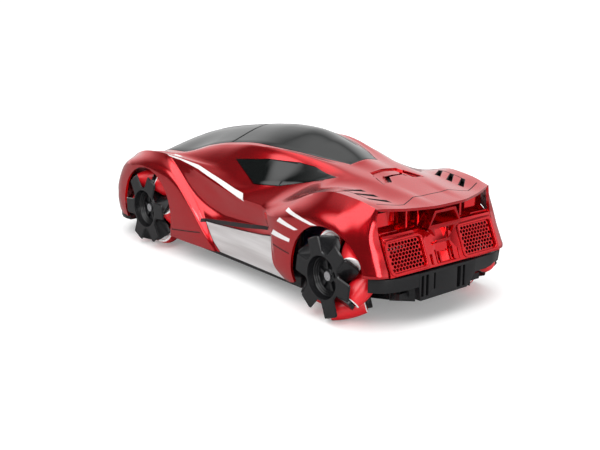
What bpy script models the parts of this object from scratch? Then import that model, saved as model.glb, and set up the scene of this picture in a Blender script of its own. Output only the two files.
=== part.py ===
"""Toy drift car with four omni wheels: every moulded, pressed and turned piece as its own solid."""
import math

import bmesh
import bpy
import numpy as np
from mathutils import Vector
from mathutils.bvhtree import BVHTree

for old in list(bpy.data.objects):
    bpy.data.objects.remove(old, do_unlink=True)

# Driving sizes, in millimetres: +X is forward, +Y is left, +Z is up, the ground is Z = 0
MM = 0.001
WHEELBASE = 172.6
NOSE_OVERHANG = 60.4
TAIL_OVERHANG = 35.8
CAR_WIDTH = 106.0
CAR_HEIGHT = 83.2
WHEEL_R = 24.0
WHEEL_W = 25.0
WHEEL_OUT = 55.3
ROLLERS = 6
ROLLER_MID_R = 6.25
PIN_R = 1.25
SHELL_WALL = 1.5
FLOOR_Z = 9.0
FLOOR_WALL = 2.5
FIT = 0.3
GEAR_MODULE = 0.8
GEAR_TEETH = 24
PINION_TEETH = 9
SHAFT_R = 1.5
BATTERY = (58.0, 35.0, 17.0)

# Sizes tied to the driving ones
CAR_LENGTH = NOSE_OVERHANG + WHEELBASE + TAIL_OVERHANG
SX = CAR_LENGTH / 268.8
SY = CAR_WIDTH / 106.0
SZ = CAR_HEIGHT / 83.2
WHEEL_IN = WHEEL_OUT - WHEEL_W
WHEEL_MID = WHEEL_OUT - WHEEL_W / 2
REAR_X = TAIL_OVERHANG - CAR_LENGTH / 2
FRONT_X = REAR_X + WHEELBASE
AXLES = {"front": (FRONT_X, -1), "rear": (REAR_X, 1)}
SIDES = {"left": 1, "right": -1}
AXIS_R = WHEEL_R - ROLLER_MID_R
ROLLER_HALF = 0.392 * WHEEL_W
GEAR_R = GEAR_MODULE * GEAR_TEETH / 2
PINION_R = GEAR_MODULE * PINION_TEETH / 2
GEAR_GAP = GEAR_R + PINION_R
BODY_IN = WHEEL_IN - 1.2
MOTOR_GAP = 10.4
GEAR_Y = (BODY_IN - 11.4, BODY_IN - 7.0)
INNER_WALL = (BODY_IN - 16.0, BODY_IN - 12.6)
OUTER_WALL = (BODY_IN - 5.5, BODY_IN - 0.3)

PARTS = bpy.data.collections.new("rc drift car")
bpy.context.scene.collection.children.link(PARTS)

# Colours of the materials: base colour, roughness, metallic
PALETTE = {
    "red_paint": ((0.42, 0.006, 0.010, 1), 0.22, 0.35),
    "red_plating": ((0.50, 0.010, 0.012, 1), 0.15, 0.7),
    "smoked_glass": ((0.012, 0.012, 0.014, 1), 0.08, 0.0),
    "silver_paint": ((0.62, 0.60, 0.60, 1), 0.35, 0.4),
    "black_plastic": ((0.025, 0.025, 0.028, 1), 0.45, 0.0),
    "red_rubber": ((0.60, 0.008, 0.015, 1), 0.5, 0.0),
    "clear_lens": ((0.75, 0.77, 0.80, 1), 0.1, 0.0),
    "steel": ((0.60, 0.60, 0.62, 1), 0.3, 1.0),
    "nylon": ((0.80, 0.79, 0.74, 1), 0.5, 0.0),
    "battery_wrap": ((0.05, 0.10, 0.30, 1), 0.4, 0.0),
    "board_green": ((0.02, 0.14, 0.05, 1), 0.5, 0.0),
}
MATERIALS = {}
for mat_name, (colour, rough, metal) in PALETTE.items():
    mat = bpy.data.materials.new(mat_name)
    mat.use_nodes = True
    shader = mat.node_tree.nodes["Principled BSDF"]
    shader.inputs["Base Color"].default_value = colour
    shader.inputs["Roughness"].default_value = rough
    shader.inputs["Metallic"].default_value = metal
    MATERIALS[mat_name] = mat


# General tools: meshes from points, prisms, turned bodies and Booleans
def solid(name, points, faces, mat=None, at=(0, 0, 0)):
    mesh = bpy.data.meshes.new(name)
    at = Vector(at)
    mesh.from_pydata([(Vector(p) - at) * MM for p in points], [], faces)
    tidy = bmesh.new()
    tidy.from_mesh(mesh)
    bmesh.ops.recalc_face_normals(tidy, faces=tidy.faces)
    tidy.to_mesh(mesh)
    tidy.free()
    obj = bpy.data.objects.new(name, mesh)
    obj.location = at * MM
    PARTS.objects.link(obj)
    if mat:
        mesh.materials.append(MATERIALS[mat])
    return obj


def prism(name, outline, low, high, place, mat=None, at=(0, 0, 0)):
    n = len(outline)
    points = [place(u, v, low) for u, v in outline] + [place(u, v, high) for u, v in outline]
    faces = [[i, (i + 1) % n, (i + 1) % n + n, i + n] for i in range(n)]
    faces += [list(range(n)), list(range(n, 2 * n))]
    return solid(name, points, faces, mat, at)


def plan(u, v, w):
    return (u, v, w)


def profile(u, v, w):
    return (u, w, v)


def rearward(u, v, w):
    return (w, u, v)


def box(name, x, y, z, mat=None, at=(0, 0, 0)):
    corners = [(x[0], y[0]), (x[1], y[0]), (x[1], y[1]), (x[0], y[1])]
    return prism(name, corners, z[0], z[1], plan, mat, at)


def ring_points(radius, n, middle=(0, 0), turn=0.0):
    steps = [turn + 2 * math.pi * i / n for i in range(n)]
    return [(middle[0] + radius * math.cos(a), middle[1] + radius * math.sin(a)) for a in steps]


def turned(name, stations, n, origin, axis, mat=None, at=(0, 0, 0), closed=False, start=None):
    """Revolve (distance along the axis, radius) stations; closed joins the last to the first."""
    origin, axis = Vector(origin), Vector(axis).normalized()
    side = axis.orthogonal() if start is None else start - axis * start.dot(axis)
    side.normalize()
    up = axis.cross(side)
    points = []
    for s, r in stations:
        for i in range(n):
            a = 2 * math.pi * i / n
            points.append(origin + axis * s + (side * math.cos(a) + up * math.sin(a)) * r)
    m = len(stations)
    faces = []
    for k in range(m if closed else m - 1):
        nxt = (k + 1) % m
        for i in range(n):
            j = (i + 1) % n
            faces.append([k * n + i, k * n + j, nxt * n + j, nxt * n + i])
    if not closed:
        faces += [list(range(n)), list(range((m - 1) * n, m * n))]
    return solid(name, points, faces, mat, at)


def combine(obj, tool, how):
    mod = obj.modifiers.new(how, "BOOLEAN")
    mod.object = tool
    mod.operation = how
    mod.solver = "EXACT"
    bpy.context.view_layer.update()
    graph = bpy.context.evaluated_depsgraph_get()
    mesh = bpy.data.meshes.new_from_object(obj.evaluated_get(graph))
    obj.modifiers.clear()
    old_mesh = obj.data
    obj.data = mesh
    mesh.name = old_mesh.name
    bpy.data.meshes.remove(old_mesh)
    bpy.data.objects.remove(tool)
    return obj


def join(obj, *tools):
    for tool in tools:
        combine(obj, tool, "UNION")
    return obj


def cut(obj, *tools):
    for tool in tools:
        combine(obj, tool, "DIFFERENCE")
    return obj


# Body surface: feature lines that run from the nose lip to the tail, drawn on the left half
LINES = {
    "centre": [(134.4, 0, 19.5), (133.4, 0, 25), (127.4, 0, 34), (115.4, 0, 46), (101.4, 0, 54.5),
        (90.4, 0, 60), (75.4, 0, 66), (61.4, 0, 70.3), (45.4, 0, 74), (28.4, 0, 77.3), (10.4, 0, 80.3),
        (-9.1, 0, 82.6), (-24.1, 0, 83.2), (-43.6, 0, 80), (-68.1, 0, 72.8), (-92.6, 0, 68.2),
        (-116.6, 0, 64), (-134.1, 0, 61.8)],
    "glass": [(133.6, 15, 19.5), (131.9, 16, 26), (124.4, 19, 35), (110.4, 24, 45), (95.4, 28, 52.5),
        (79.4, 31, 57), (60.9, 32, 59.2), (36.4, 28.7, 67.1), (17.9, 27.5, 71.3), (-11.6, 26.2, 74.9),
        (-33.6, 21.7, 74.3), (-52.6, 16, 72.6), (-69, 9.8, 70.8), (-92.6, 8, 67.9), (-119.6, 7, 63.5),
        (-134, 7, 61.8)],
    "rail": [(132.4, 21.5, 19.5), (129.9, 23, 28), (121.4, 27, 38), (105.4, 32, 47.5), (89.4, 35, 54),
        (75.4, 36, 57.3), (63.4, 35, 58.7), (37.9, 32.2, 65.4), (17.1, 31.1, 69.4), (-3.4, 30.3, 72.6),
        (-24.1, 28.3, 73.8), (-50.3, 22.9, 72.3), (-71, 19.3, 69.7), (-91.6, 16.1, 67.6),
        (-119.6, 12.6, 63.8), (-133.4, 12.4, 61.8)],
    "belt": [(130.9, 28, 19.5), (127.4, 30.5, 29), (118.4, 34, 40), (105.4, 37, 48.5),
        (89.4, 40, 55.5), (75.4, 41, 58.3), (62.4, 40, 58.9), (41.4, 39, 59.3), (20.9, 38.6, 59),
        (0.7, 39, 57.6), (-19.3, 39.9, 54.8), (-40.6, 35.8, 57.6), (-57.9, 31.1, 61.8),
        (-75.6, 28, 65.5), (-93.6, 26.5, 65.2), (-116.6, 25.5, 62.8), (-128.6, 26, 61.8)],
    "shoulder": [(127.9, 34, 19), (124.9, 36.5, 30), (116.4, 39.5, 41.5), (106.4, 42.2, 49.3),
        (95.4, 44.3, 54.7), (85.4, 45.2, 57.6), (75.4, 45.4, 58.9), (63.4, 44.7, 59.3),
        (42.8, 44.7, 56.7), (22.6, 45.6, 53.5), (2.4, 46, 50), (-18, 46, 47.3), (-36.1, 46, 47.3),
        (-48.6, 45.1, 50.8), (-61.6, 44.3, 55.8), (-73.6, 44.2, 60.7), (-83.6, 43.3, 64),
        (-93.9, 42, 65.8), (-108.6, 41, 65), (-122.8, 40, 62.4)],
    "upper": [(123.9, 40, 18.5), (121.4, 42.5, 28), (114.9, 46.5, 37.5), (105.9, 49.5, 45.2),
        (93.4, 51.6, 50), (75.2, 52.1, 52.3), (58.1, 51.4, 51.6), (47.9, 50.3, 50.5),
        (41.9, 46.4, 49.1), (22.7, 46, 46), (2.1, 45.1, 43), (-18.2, 45.1, 40.9), (-38.1, 46, 41.7),
        (-43.6, 48.6, 43), (-54.6, 50.5, 46.7), (-71.2, 51.5, 51.4), (-88, 51.8, 54),
        (-104.6, 50.5, 54), (-116.1, 47.2, 52), (-122.4, 44.3, 49.8), (-124.2, 40, 49.6)],
    "mid": [(119.9, 45, 18), (118.2, 47, 25), (112.9, 50.3, 32), (104.4, 52.2, 38), (93.4, 52.9, 41),
        (76.4, 52.9, 42.9), (53.1, 52.6, 40.4), (32.4, 51.5, 38.1), (26.4, 47.3, 37.3),
        (2, 44.2, 33.9), (-28.3, 44.7, 34.8), (-44, 46.9, 36.6), (-49, 50.1, 37.2),
        (-70.2, 52.7, 40.5), (-96.9, 53, 42.4), (-109.6, 52.2, 41.8), (-118.6, 49.5, 41),
        (-125.9, 44.4, 40.5), (-127.9, 40, 40.3)],
    "silltop": [(114.9, 49, 17), (113.9, 50.2, 21.5), (109.9, 52, 26), (102.4, 52.9, 28.7),
        (76.8, 53, 30.5), (47.4, 52.8, 28.5), (21.6, 51.5, 27.9), (15.9, 47.8, 27.8),
        (-7.6, 47.3, 29.1), (-37.8, 47.8, 32), (-47.6, 48.6, 33.4), (-52.3, 51.1, 30.9),
        (-70.2, 52.7, 31.4), (-96.8, 53, 33.3), (-111.3, 52.5, 33.3), (-121.6, 50, 33),
        (-129.6, 44.3, 33), (-131.2, 40, 33)],
    "sill": [(109.9, 51, 15.5), (108.9, 51.6, 17.8), (103.9, 52.6, 19), (93.4, 52.9, 19),
        (47.4, 52.7, 17.8), (11.9, 51.5, 18.7), (6.4, 49.5, 18.2), (-16.9, 49.8, 18.7),
        (-48.6, 50.8, 19.4), (-57.9, 51.9, 19.6), (-70.2, 52.7, 21.3), (-96.8, 53, 29.5),
        (-113.3, 52.5, 30), (-123.1, 50, 30.2), (-130.8, 44.2, 30.6), (-132.1, 40, 30.5)],
    "edge": [(105.4, 51.6, 13.5), (103.4, 52, 13.8), (92.4, 52.2, 12), (46.4, 51.9, 11.5),
        (6.1, 50.5, 12.1), (1, 48.6, 12.2), (-37.6, 49.1, 12.2), (-62.2, 49.8, 12.1),
        (-66.6, 50.8, 12.4), (-71.2, 51.5, 13.5), (-97.3, 52.6, 27.8), (-113.6, 52.2, 28.4),
        (-123.4, 49.8, 28.8), (-131, 44, 29.2), (-132.4, 40, 29.2)],
}
NAMES = list(LINES)
# Where each line meets the fender's trailing edge, the haunch's leading edge and the rear corner
JOINTS = {
    "centre": (0.4, -53.6, -123.6),
    "glass": (0.4, -53.6, -123.6),
    "rail": (3.4, -53.6, -123.6),
    "belt": (20.4, -48.6, -121.6),
    "shoulder": (63.4, -42.6, -115.6),
    "upper": (47.9, -43.6, -116.1),
    "mid": (32.4, -49, -118.6),
    "silltop": (21.6, -52.3, -121.6),
    "sill": (11.9, -57.9, -123.1),
    "edge": (6.1, -66.6, -123.4),
}
CREASE = {"glass": 0.5, "rail": 0.3, "belt": 0.4, "shoulder": 0.8, "silltop": 0.9}


def along(x, xs, ys):
    """Shape-keeping cubic through points in order of rising xs."""
    h = np.diff(xs)
    d = np.diff(ys) / h
    m = np.concatenate(([d[0]], np.zeros(len(d) - 1), [d[-1]]))
    for i in range(1, len(xs) - 1):
        if d[i - 1] * d[i] > 0:
            w1 = 2 * h[i] + h[i - 1]
            w2 = h[i] + 2 * h[i - 1]
            m[i] = (w1 + w2) / (w1 / d[i - 1] + w2 / d[i])
    i = int(np.clip(np.searchsorted(xs, x) - 1, 0, len(h) - 1))
    t = (x - xs[i]) / h[i]
    return ((1 + 2 * t) * (1 - t) ** 2 * ys[i] + t * (1 - t) ** 2 * h[i] * m[i]
            + t * t * (3 - 2 * t) * ys[i + 1] + t * t * (t - 1) * h[i] * m[i + 1])


def line_steps(name):
    """Each line's points get a running number, so a line may turn back at the rear corner."""
    pts = np.array(LINES[name], float) * (SX, SY, SZ)
    run = np.concatenate(([0], np.cumsum(np.abs(np.diff(pts[:, 0])) + 0.25 * np.abs(np.diff(pts[:, 1])))))
    marks = [0.0]
    for x in JOINTS[name]:
        drop = np.arange(len(pts))[pts[:, 0] <= x * SX][0]
        a, b = pts[drop - 1, 0], pts[drop, 0]
        marks.append(run[drop - 1] + (run[drop] - run[drop - 1]) * (x * SX - a) / (b - a))
    return pts, run, marks + [run[-1]]


STEPS = {name: line_steps(name) for name in NAMES}


def line_point(name, t):
    pts, run, marks = STEPS[name]
    s = np.interp(t, range(5), marks)
    return np.array([along(s, run, pts[:, k]) for k in range(3)])


def skin(t, v):
    """Point of the outer surface: t runs nose to tail, v runs from the middle line down the side."""
    i = min(int(abs(v)), len(NAMES) - 2)
    f = abs(v) - i

    def row(k):
        if k < 0:
            return line_point(NAMES[-k], t) * (1, -1, 1)
        return line_point(NAMES[min(k, len(NAMES) - 1)], t)

    p0, p1, p2, p3 = row(i - 1), row(i), row(i + 1), row(i + 2)
    k1 = CREASE.get(NAMES[i], 0.0)
    k2 = CREASE.get(NAMES[i + 1], 0.0)
    m1 = (1 - k1) * 0.5 * (p2 - p0) + k1 * (p2 - p1)
    m2 = (1 - k2) * 0.5 * (p3 - p1) + k2 * (p2 - p1)
    p = ((1 + 2 * f) * (1 - f) ** 2 * p1 + f * (1 - f) ** 2 * m1
         + f * f * (3 - 2 * f) * p2 + f * f * (f - 1) * m2)
    return p * (1, -1, 1) if v < 0 else p


def sheet(name, ts, vs, wall, mat, open_at=None):
    """Skin patch thickened inwards; open_at(t, v) leaves faces out."""
    points = [skin(t, v) for v in vs for t in ts]
    n = len(ts)
    faces = []
    for i in range(len(vs) - 1):
        for j in range(n - 1):
            t, v = (ts[j] + ts[j + 1]) / 2, (vs[i] + vs[i + 1]) / 2
            if open_at and open_at(t, abs(v)):
                continue
            faces.append([i * n + j, (i + 1) * n + j, (i + 1) * n + j + 1, i * n + j + 1])
    mesh = bpy.data.meshes.new(name)
    mesh.from_pydata([Vector(p) * MM for p in points], [], faces)
    tidy = bmesh.new()
    tidy.from_mesh(mesh)
    bmesh.ops.delete(tidy, geom=[v for v in tidy.verts if not v.link_faces], context="VERTS")
    tidy.to_mesh(mesh)
    tidy.free()
    obj = bpy.data.objects.new(name, mesh)
    PARTS.objects.link(obj)
    mesh.materials.append(MATERIALS[mat])
    mod = obj.modifiers.new("wall", "SOLIDIFY")
    mod.thickness = wall * MM
    mod.offset = -1
    bpy.context.view_layer.update()
    graph = bpy.context.evaluated_depsgraph_get()
    made = bpy.data.meshes.new_from_object(obj.evaluated_get(graph))
    obj.modifiers.clear()
    obj.data = made
    bpy.data.meshes.remove(mesh)
    return obj


# Places of the openings on the skin, as (t, v) ranges
CANOPY_T = (0.26, 2.22)
SEAM_T = 0.87
LAMP_T, LAMP_V = (0.10, 0.26), (3.0, 4.0)
SILL_T, SILL_V = (1.07, 1.93), (7.0, 9.0)
SKIN_T = [0, 0.05, 0.10, 0.18, 0.26, 0.42, 0.60, 0.74, 0.87, 1, 1.07, 1.35, 1.64, 1.93, 2, 2.10, 2.22,
          2.45, 2.70, 2.90, 3, 3.5, 4]
HALF_V = [0, 0.5, 1, 1.5, 2, 2.5, 3, 3.5, 4, 4.5, 5, 6, 7, 8, 9]
SKIN_V = [-v for v in HALF_V[:0:-1]] + HALF_V


def within(value, pair):
    return pair[0] < value < pair[1]


def shell_open(t, v):
    canopy = v < 1 and within(t, CANOPY_T)
    lamp = within(t, LAMP_T) and within(v, LAMP_V)
    sill = within(t, SILL_T) and within(v, SILL_V)
    return canopy or lamp or sill


def inner_steps(pair, gap):
    mids = [t for t in SKIN_T if pair[0] < t < pair[1]]
    return [pair[0] + gap] + mids + [pair[1] - gap]


def across(limit, gap):
    mids = [v for v in HALF_V if v < limit]
    half = mids + [limit - gap]
    return [-v for v in half[:0:-1]] + half


body_shell = sheet("body_shell", SKIN_T, SKIN_V, SHELL_WALL, "red_paint", shell_open)
windscreen = sheet("windscreen", inner_steps((CANOPY_T[0], SEAM_T), 0.008), across(1, 0.03), SHELL_WALL,
                   "smoked_glass")
roof_glass = sheet("roof_glass", inner_steps((SEAM_T, CANOPY_T[1]), 0.008), across(1, 0.03), SHELL_WALL,
                   "smoked_glass")
for side, s in SIDES.items():
    lamp_v = [s * v for v in (3.17, 3.5, 3.83)][::s]
    sheet(side + "_headlight", inner_steps(LAMP_T, 0.018), lamp_v, SHELL_WALL, "clear_lens")
    sill_v = [s * v for v in (7.08, 7.5, 8, 8.5, 8.98)][::s]
    sheet(side + "_sill", inner_steps(SILL_T, 0.008), sill_v, SHELL_WALL, "silver_paint")

# Side windows: one outline cuts the shell, a slightly smaller one cuts the pane from a copy of the skin
WINDOW = [(4, 65), (-19.3, 55.2), (-38.6, 57.2), (-57.9, 62.3), (-73.6, 67), (-62.2, 69.2), (-44.2, 70.3),
          (-23.1, 69.3)]
window = [(x * SX, z * SZ) for x, z in WINDOW]
mid_x = sum(x for x, _ in window) / len(window)
mid_z = sum(z for _, z in window) / len(window)
pane = [(mid_x + (x - mid_x) * 0.975, mid_z + (z - mid_z) * 0.92) for x, z in window]
for side, s in SIDES.items():
    y_low, y_high = sorted((s * 24 * SY, s * 55 * SY))
    skin_v = [s * v for v in (1.6, 2, 2.5, 3, 3.5, 4)][::s]
    glass = sheet(side + "_side_window", [t for t in SKIN_T if 0.6 < t < 2.6], skin_v, SHELL_WALL,
                  "smoked_glass")
    combine(glass, prism("pane", pane, y_low, y_high, profile), "INTERSECT")
    cut(body_shell, prism("window", window, y_low, y_high, profile))

# Wheel arches and deck louvres
for axle, (x, _) in AXLES.items():
    shift, radius = ((0.0, WHEEL_R + 2.8), (1.2, WHEEL_R + 3.3))[axle == "rear"]
    for s in SIDES.values():
        y_low, y_high = sorted((s * (WHEEL_IN + 9), s * 60 * SY))
        arch = ring_points(radius, 36, (x + shift, WHEEL_R - 1.3))
        cut(body_shell, prism("arch", arch, y_low, y_high, profile))
for k in range(3):
    for s in SIDES.values():
        x0, y0 = (-90 - 9.2 * k) * SX, s * (35.5 - 0.7 * k) * SY
        x1, y1 = (-96 - 9.2 * k) * SX, s * (27 - 0.5 * k) * SY
        slot = [(x0, y0), (x0 - 1.8, y0), (x1 - 2.6, y1), (x1, y1)]
        cut(body_shell, prism("louvre", slot, 55 * SZ, 75 * SZ, plan))
# Horseshoe intake on the deck: a slot across and a slot along each arm
intake = [(-89.6, 6), (-91.2, 6.6), (-98.9, 10), (-99.4, 8.2), (-93.2, 4.4)]
intake = [(x * SX, y * SY) for x, y in intake + [(x, -y) for x, y in intake[::-1]]]
cut(body_shell, prism("intake", intake, 60 * SZ, 75 * SZ, plan))
for s in SIDES.values():
    arm = [(-86.8, 11), (-88.8, 9.7), (-99.6, 13.2), (-99.8, 14.6)]
    cut(body_shell, prism("arm", [(x * SX, s * y * SY) for x, y in arm], 60 * SZ, 75 * SZ, plan))


# Wheels: barrel rollers at 45 degrees on pins between the claws of a hub
DRUM_R = AXIS_R - ROLLER_MID_R - 1.2
HUB_HALF = WHEEL_W / 2 - 0.2
RECESS = 5.9
PHASE = math.radians(21)
TOOTH_TURN = {-1: math.radians(-14), 1: 0.0}
CLAW_WALL = 2.0
CLAW_HALF = 0.192 * WHEEL_W
FACE_WALL = 1.4
HEAD_Y = WHEEL_OUT - 0.2 - RECESS + FIT


def roller_radius(d):
    reach = math.sqrt(AXIS_R ** 2 + d * d / 2)
    return (WHEEL_R - reach) / math.sqrt(1 - (d / (2 * reach)) ** 2)


def roller_places(centre, s, lean):
    for k in range(ROLLERS):
        a = -math.pi / 2 - PHASE + 2 * math.pi * k / ROLLERS
        radial = Vector((math.cos(a), 0, math.sin(a)))
        tangent = Vector((-math.sin(a), 0, math.cos(a)))
        axis = (Vector((0, s, 0)) + lean * tangent).normalized()
        yield k, centre + radial * AXIS_R, axis, radial


def claw(mid, axis, radial, end, side):
    """Wall across one end of a roller, narrow at the drum and sloped along its top."""
    across_dir = axis.cross(radial) * side
    root, half = 8 - AXIS_R, CLAW_HALF
    outline = [(root, -2.4), (-4, -half), (1.2, -half), (4, half), (-4, half), (root, 2.4)]
    points = []
    for d in (ROLLER_HALF + 0.45, ROLLER_HALF + 0.45 + CLAW_WALL):
        points += [mid + axis * end * d + radial * rise + across_dir * wide for rise, wide in outline]
    faces = [[0, 1, 2, 3, 4, 5], [6, 7, 8, 9, 10, 11]]
    faces += [[i, (i + 1) % 6, (i + 1) % 6 + 6, i + 6] for i in range(6)]
    return solid("claw", points, faces)


def lobes(centre, s, lean, end):
    """Face plate with one tooth by the middle of each roller."""
    outline = []
    for k in range(ROLLERS):
        a = end * TOOTH_TURN[lean] - math.pi / 2 - PHASE + 2 * math.pi * k / ROLLERS
        for turn, r in ((-20, AXIS_R - 2), (-12, WHEEL_R - 2.2), (12, WHEEL_R - 2.2), (20, AXIS_R - 2)):
            angle = a + math.radians(turn * 6 / ROLLERS)
            outline.append((centre.x + r * math.cos(angle), centre.z + r * math.sin(angle)))
    low, high = sorted(centre.y + s * end * (HUB_HALF - w) for w in (0, FACE_WALL))
    return prism("lobes", outline, low, high, profile)


def make_hub(name, centre, s, lean):
    axle = Vector((0, s, 0))
    h = HUB_HALF
    rim = DRUM_R + 2.2
    drum = [(-h, DRUM_R), (1, DRUM_R), (h - 2.4, rim), (h, rim)]
    hub = turned(name, drum, 16, centre, axle, "black_plastic", centre)
    places = list(roller_places(centre, s, lean))
    join(hub, lobes(centre, s, lean, 1), lobes(centre, s, lean, -1))
    for _, mid, axis, radial in places:
        join(hub, claw(mid, axis, radial, 1, s * lean), claw(mid, axis, radial, -1, -s * lean))
    d = ROLLER_HALF
    for _, mid, axis, _ in places:
        join(hub, turned("pin", [(-d - 1.7, PIN_R), (d + 1.7, PIN_R)], 5, mid, axis))
    dish = [(h - RECESS, DRUM_R - 1.0), (h - 2, DRUM_R + 1.2), (h + 2, DRUM_R + 1.2)]
    cut(hub, turned("dish", dish, 16, centre, axle))
    cut(hub, turned("bore", [(-h - 2, SHAFT_R + FIT), (h + 2, SHAFT_R + FIT)], 8, centre, axle))
    return hub


def make_roller(name, mid, axis, touch):
    d = ROLLER_HALF
    bore = PIN_R + FIT
    rest = AXIS_R * math.tan(PHASE) * math.sqrt(2)
    outer = [(q, roller_radius(q)) for q in (-d, -rest, 0, rest, d)]
    return turned(name, [(-d, bore)] + outer + [(d, bore)], 10, mid, axis, "red_rubber", mid, True, touch)


def gear_outline(teeth, pitch_r, middle, turn):
    step = math.pi / teeth
    tip, root = pitch_r + 0.8 * GEAR_MODULE, pitch_r - 1.05 * GEAR_MODULE
    points = []
    for k in range(teeth):
        a = turn + 2 * step * k
        for r, f in ((root, -0.62), (tip, -0.22), (tip, 0.22), (root, 0.62)):
            points.append((middle[0] + r * math.cos(a + f * step), middle[1] + r * math.sin(a + f * step)))
    return points


for axle_name, (axle_x, lean) in AXLES.items():
    for side, s in SIDES.items():
        tag = axle_name + "_" + side
        centre = Vector((axle_x, s * WHEEL_MID, WHEEL_R))
        make_hub(tag + "_hub", centre, s, lean)
        for k, mid, axis, _ in roller_places(centre, s, lean):
            a = -math.pi / 2 + 2 * math.pi * k / ROLLERS
            touch = Vector((math.cos(a), 0, math.sin(a)))
            make_roller("%s_roller_%d" % (tag, k + 1), mid, axis, touch)
        # Axle with its screw head and spur gear, the motor and the motor's pinion
        start = Vector((axle_x, 0, WHEEL_R))
        stations = [(INNER_WALL[0] - 1, SHAFT_R), (HEAD_Y, SHAFT_R), (HEAD_Y, 2.5), (HEAD_Y + 1.8, 2.5)]
        shaft = turned(tag + "_axle", stations, 10, start, (0, s, 0), "steel", centre)
        motor_x = axle_x + s * lean * GEAR_GAP
        toward = 0.0 if motor_x > axle_x else math.pi
        y_low, y_high = sorted((s * GEAR_Y[0], s * GEAR_Y[1]))
        teeth = gear_outline(GEAR_TEETH, GEAR_R, (axle_x, WHEEL_R), toward + math.pi / GEAR_TEETH)
        join(shaft, prism("gear", teeth, y_low, y_high, profile))
        teeth = gear_outline(PINION_TEETH, PINION_R, (motor_x, WHEEL_R), toward + math.pi)
        at = (motor_x, (y_low + y_high) / 2, WHEEL_R)
        pinion = prism(tag + "_pinion", teeth, y_low + 0.4, y_high - 0.4, profile, "nylon", at)
        cut(pinion, turned("bore", [(-9, 1.1), (9, 1.1)], 10, at, (0, 1, 0)))
        front = INNER_WALL[0] - FIT
        can = [(motor_x + u, WHEEL_R + max(-7.5, min(7.5, v))) for u, v in ring_points(10, 20, turn=0.1)]
        y_low, y_high = sorted((s * front, s * (MOTOR_GAP - GEAR_Y[0])))
        motor = prism(tag + "_motor", can, y_low, y_high, profile, "steel")
        nose = [(front - 1, 3.0), (front + 2, 3.0), (front + 2, 0.8), (GEAR_Y[1] - 0.6, 0.8)]
        join(motor, turned("nose", nose, 12, (motor_x, 0, WHEEL_R), (0, s, 0)))

# Chassis tub with bearing walls, motor cradles, posts and the openings of the floor
FLOOR_TOP = FLOOR_Z + FLOOR_WALL
TUB_X = (-128.8 * SX, 99.3 * SX)
WAIST = (REAR_X + WHEEL_R + 4, FRONT_X - WHEEL_R - 4)
TUB_Y = 46 * SY


def tub_outline(inset):
    a, b = TUB_X[0] + inset, TUB_X[1] - inset
    c, d = WAIST[0] + inset, WAIST[1] - inset
    y, wide = BODY_IN - inset, TUB_Y - inset
    half = [(b, y), (d, y), (d, wide), (c, wide), (c, y), (a, y)]
    return half + [(u, -v) for u, v in half[::-1]]


chassis = prism("chassis_tub", tub_outline(0), FLOOR_Z, FLOOR_TOP + 6, plan, "black_plastic")
cut(chassis, prism("inside", tub_outline(2.0), FLOOR_TOP, FLOOR_TOP + 20, plan))
ramp_x, ramp_rise = REAR_X - 4, 5.5 * SZ
ramp = [(TUB_X[0] + 1, FLOOR_TOP - 1), (ramp_x, FLOOR_TOP - 1), (TUB_X[0] + 1, FLOOR_TOP - 0.5 + ramp_rise)]
join(chassis, prism("ramp", ramp, 1 - BODY_IN, BODY_IN - 1, profile))
for axle_name, (axle_x, lean_in) in AXLES.items():
    for s in SIDES.values():
        motor_x = axle_x + s * lean * GEAR_GAP
        y_low, y_high = sorted((s * OUTER_WALL[0], s * OUTER_WALL[1]))
        join(chassis, box("wall", (axle_x - 7, axle_x + 7), (y_low, y_high), (FLOOR_TOP - 1, WHEEL_R + 6)))
        y_low, y_high = sorted((s * INNER_WALL[0], s * INNER_WALL[1]))
        x_low, x_high = sorted((axle_x - s * lean_in * 5, motor_x + s * lean_in * 9))
        join(chassis, box("wall", (x_low, x_high), (y_low, y_high), (FLOOR_TOP - 1, WHEEL_R + 6)))
        y_low, y_high = sorted((s * (INNER_WALL[0] - 5), s * (INNER_WALL[0] - 16)))
        cradle_z = (FLOOR_TOP - 1, WHEEL_R - 7.5 - FIT)
        join(chassis, box("cradle", (motor_x - 5, motor_x + 5), (y_low, y_high), cradle_z))
        bore = [(INNER_WALL[0] - 2, SHAFT_R + FIT), (OUTER_WALL[1] + 2, SHAFT_R + FIT)]
        cut(chassis, turned("bore", bore, 12, (axle_x, 0, WHEEL_R), (0, s, 0)))
        bore = [(INNER_WALL[0] - 2, 3.0 + FIT), (INNER_WALL[1] + 1, 3.0 + FIT)]
        cut(chassis, turned("bore", bore, 12, (motor_x, 0, WHEEL_R), (0, s, 0)))
below = [(TUB_X[0] - 2, FLOOR_Z - 3), (ramp_x, FLOOR_Z - 3), (ramp_x, FLOOR_Z),
         (TUB_X[0] - 2, FLOOR_Z + ramp_rise)]
cut(chassis, prism("below", below, -60 * SY, 60 * SY, profile))

# Screw posts that carry the shell: each stops just under the inside of the shell
graph = bpy.context.evaluated_depsgraph_get()
tree = BVHTree.FromObject(body_shell, graph)
for x, y in ((WAIST[1] - 8, 41), (WAIST[0] + 8, 41)):
    for s in SIDES.values():
        tops = []
        for u, v in ring_points(3.2, 8, (x, s * y * SY)):
            hit = tree.ray_cast(Vector((u, v, FLOOR_TOP + 9)) * MM, Vector((0, 0, 1)))[0]
            tops.append(hit.z / MM if hit else 50 * SZ)
        rise = [(FLOOR_TOP - 1, 3.0), (min(tops) - FIT, 3.0)]
        post = turned("post", rise, 12, (x, s * y * SY, 0), (0, 0, 1))
        join(chassis, post)

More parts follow.
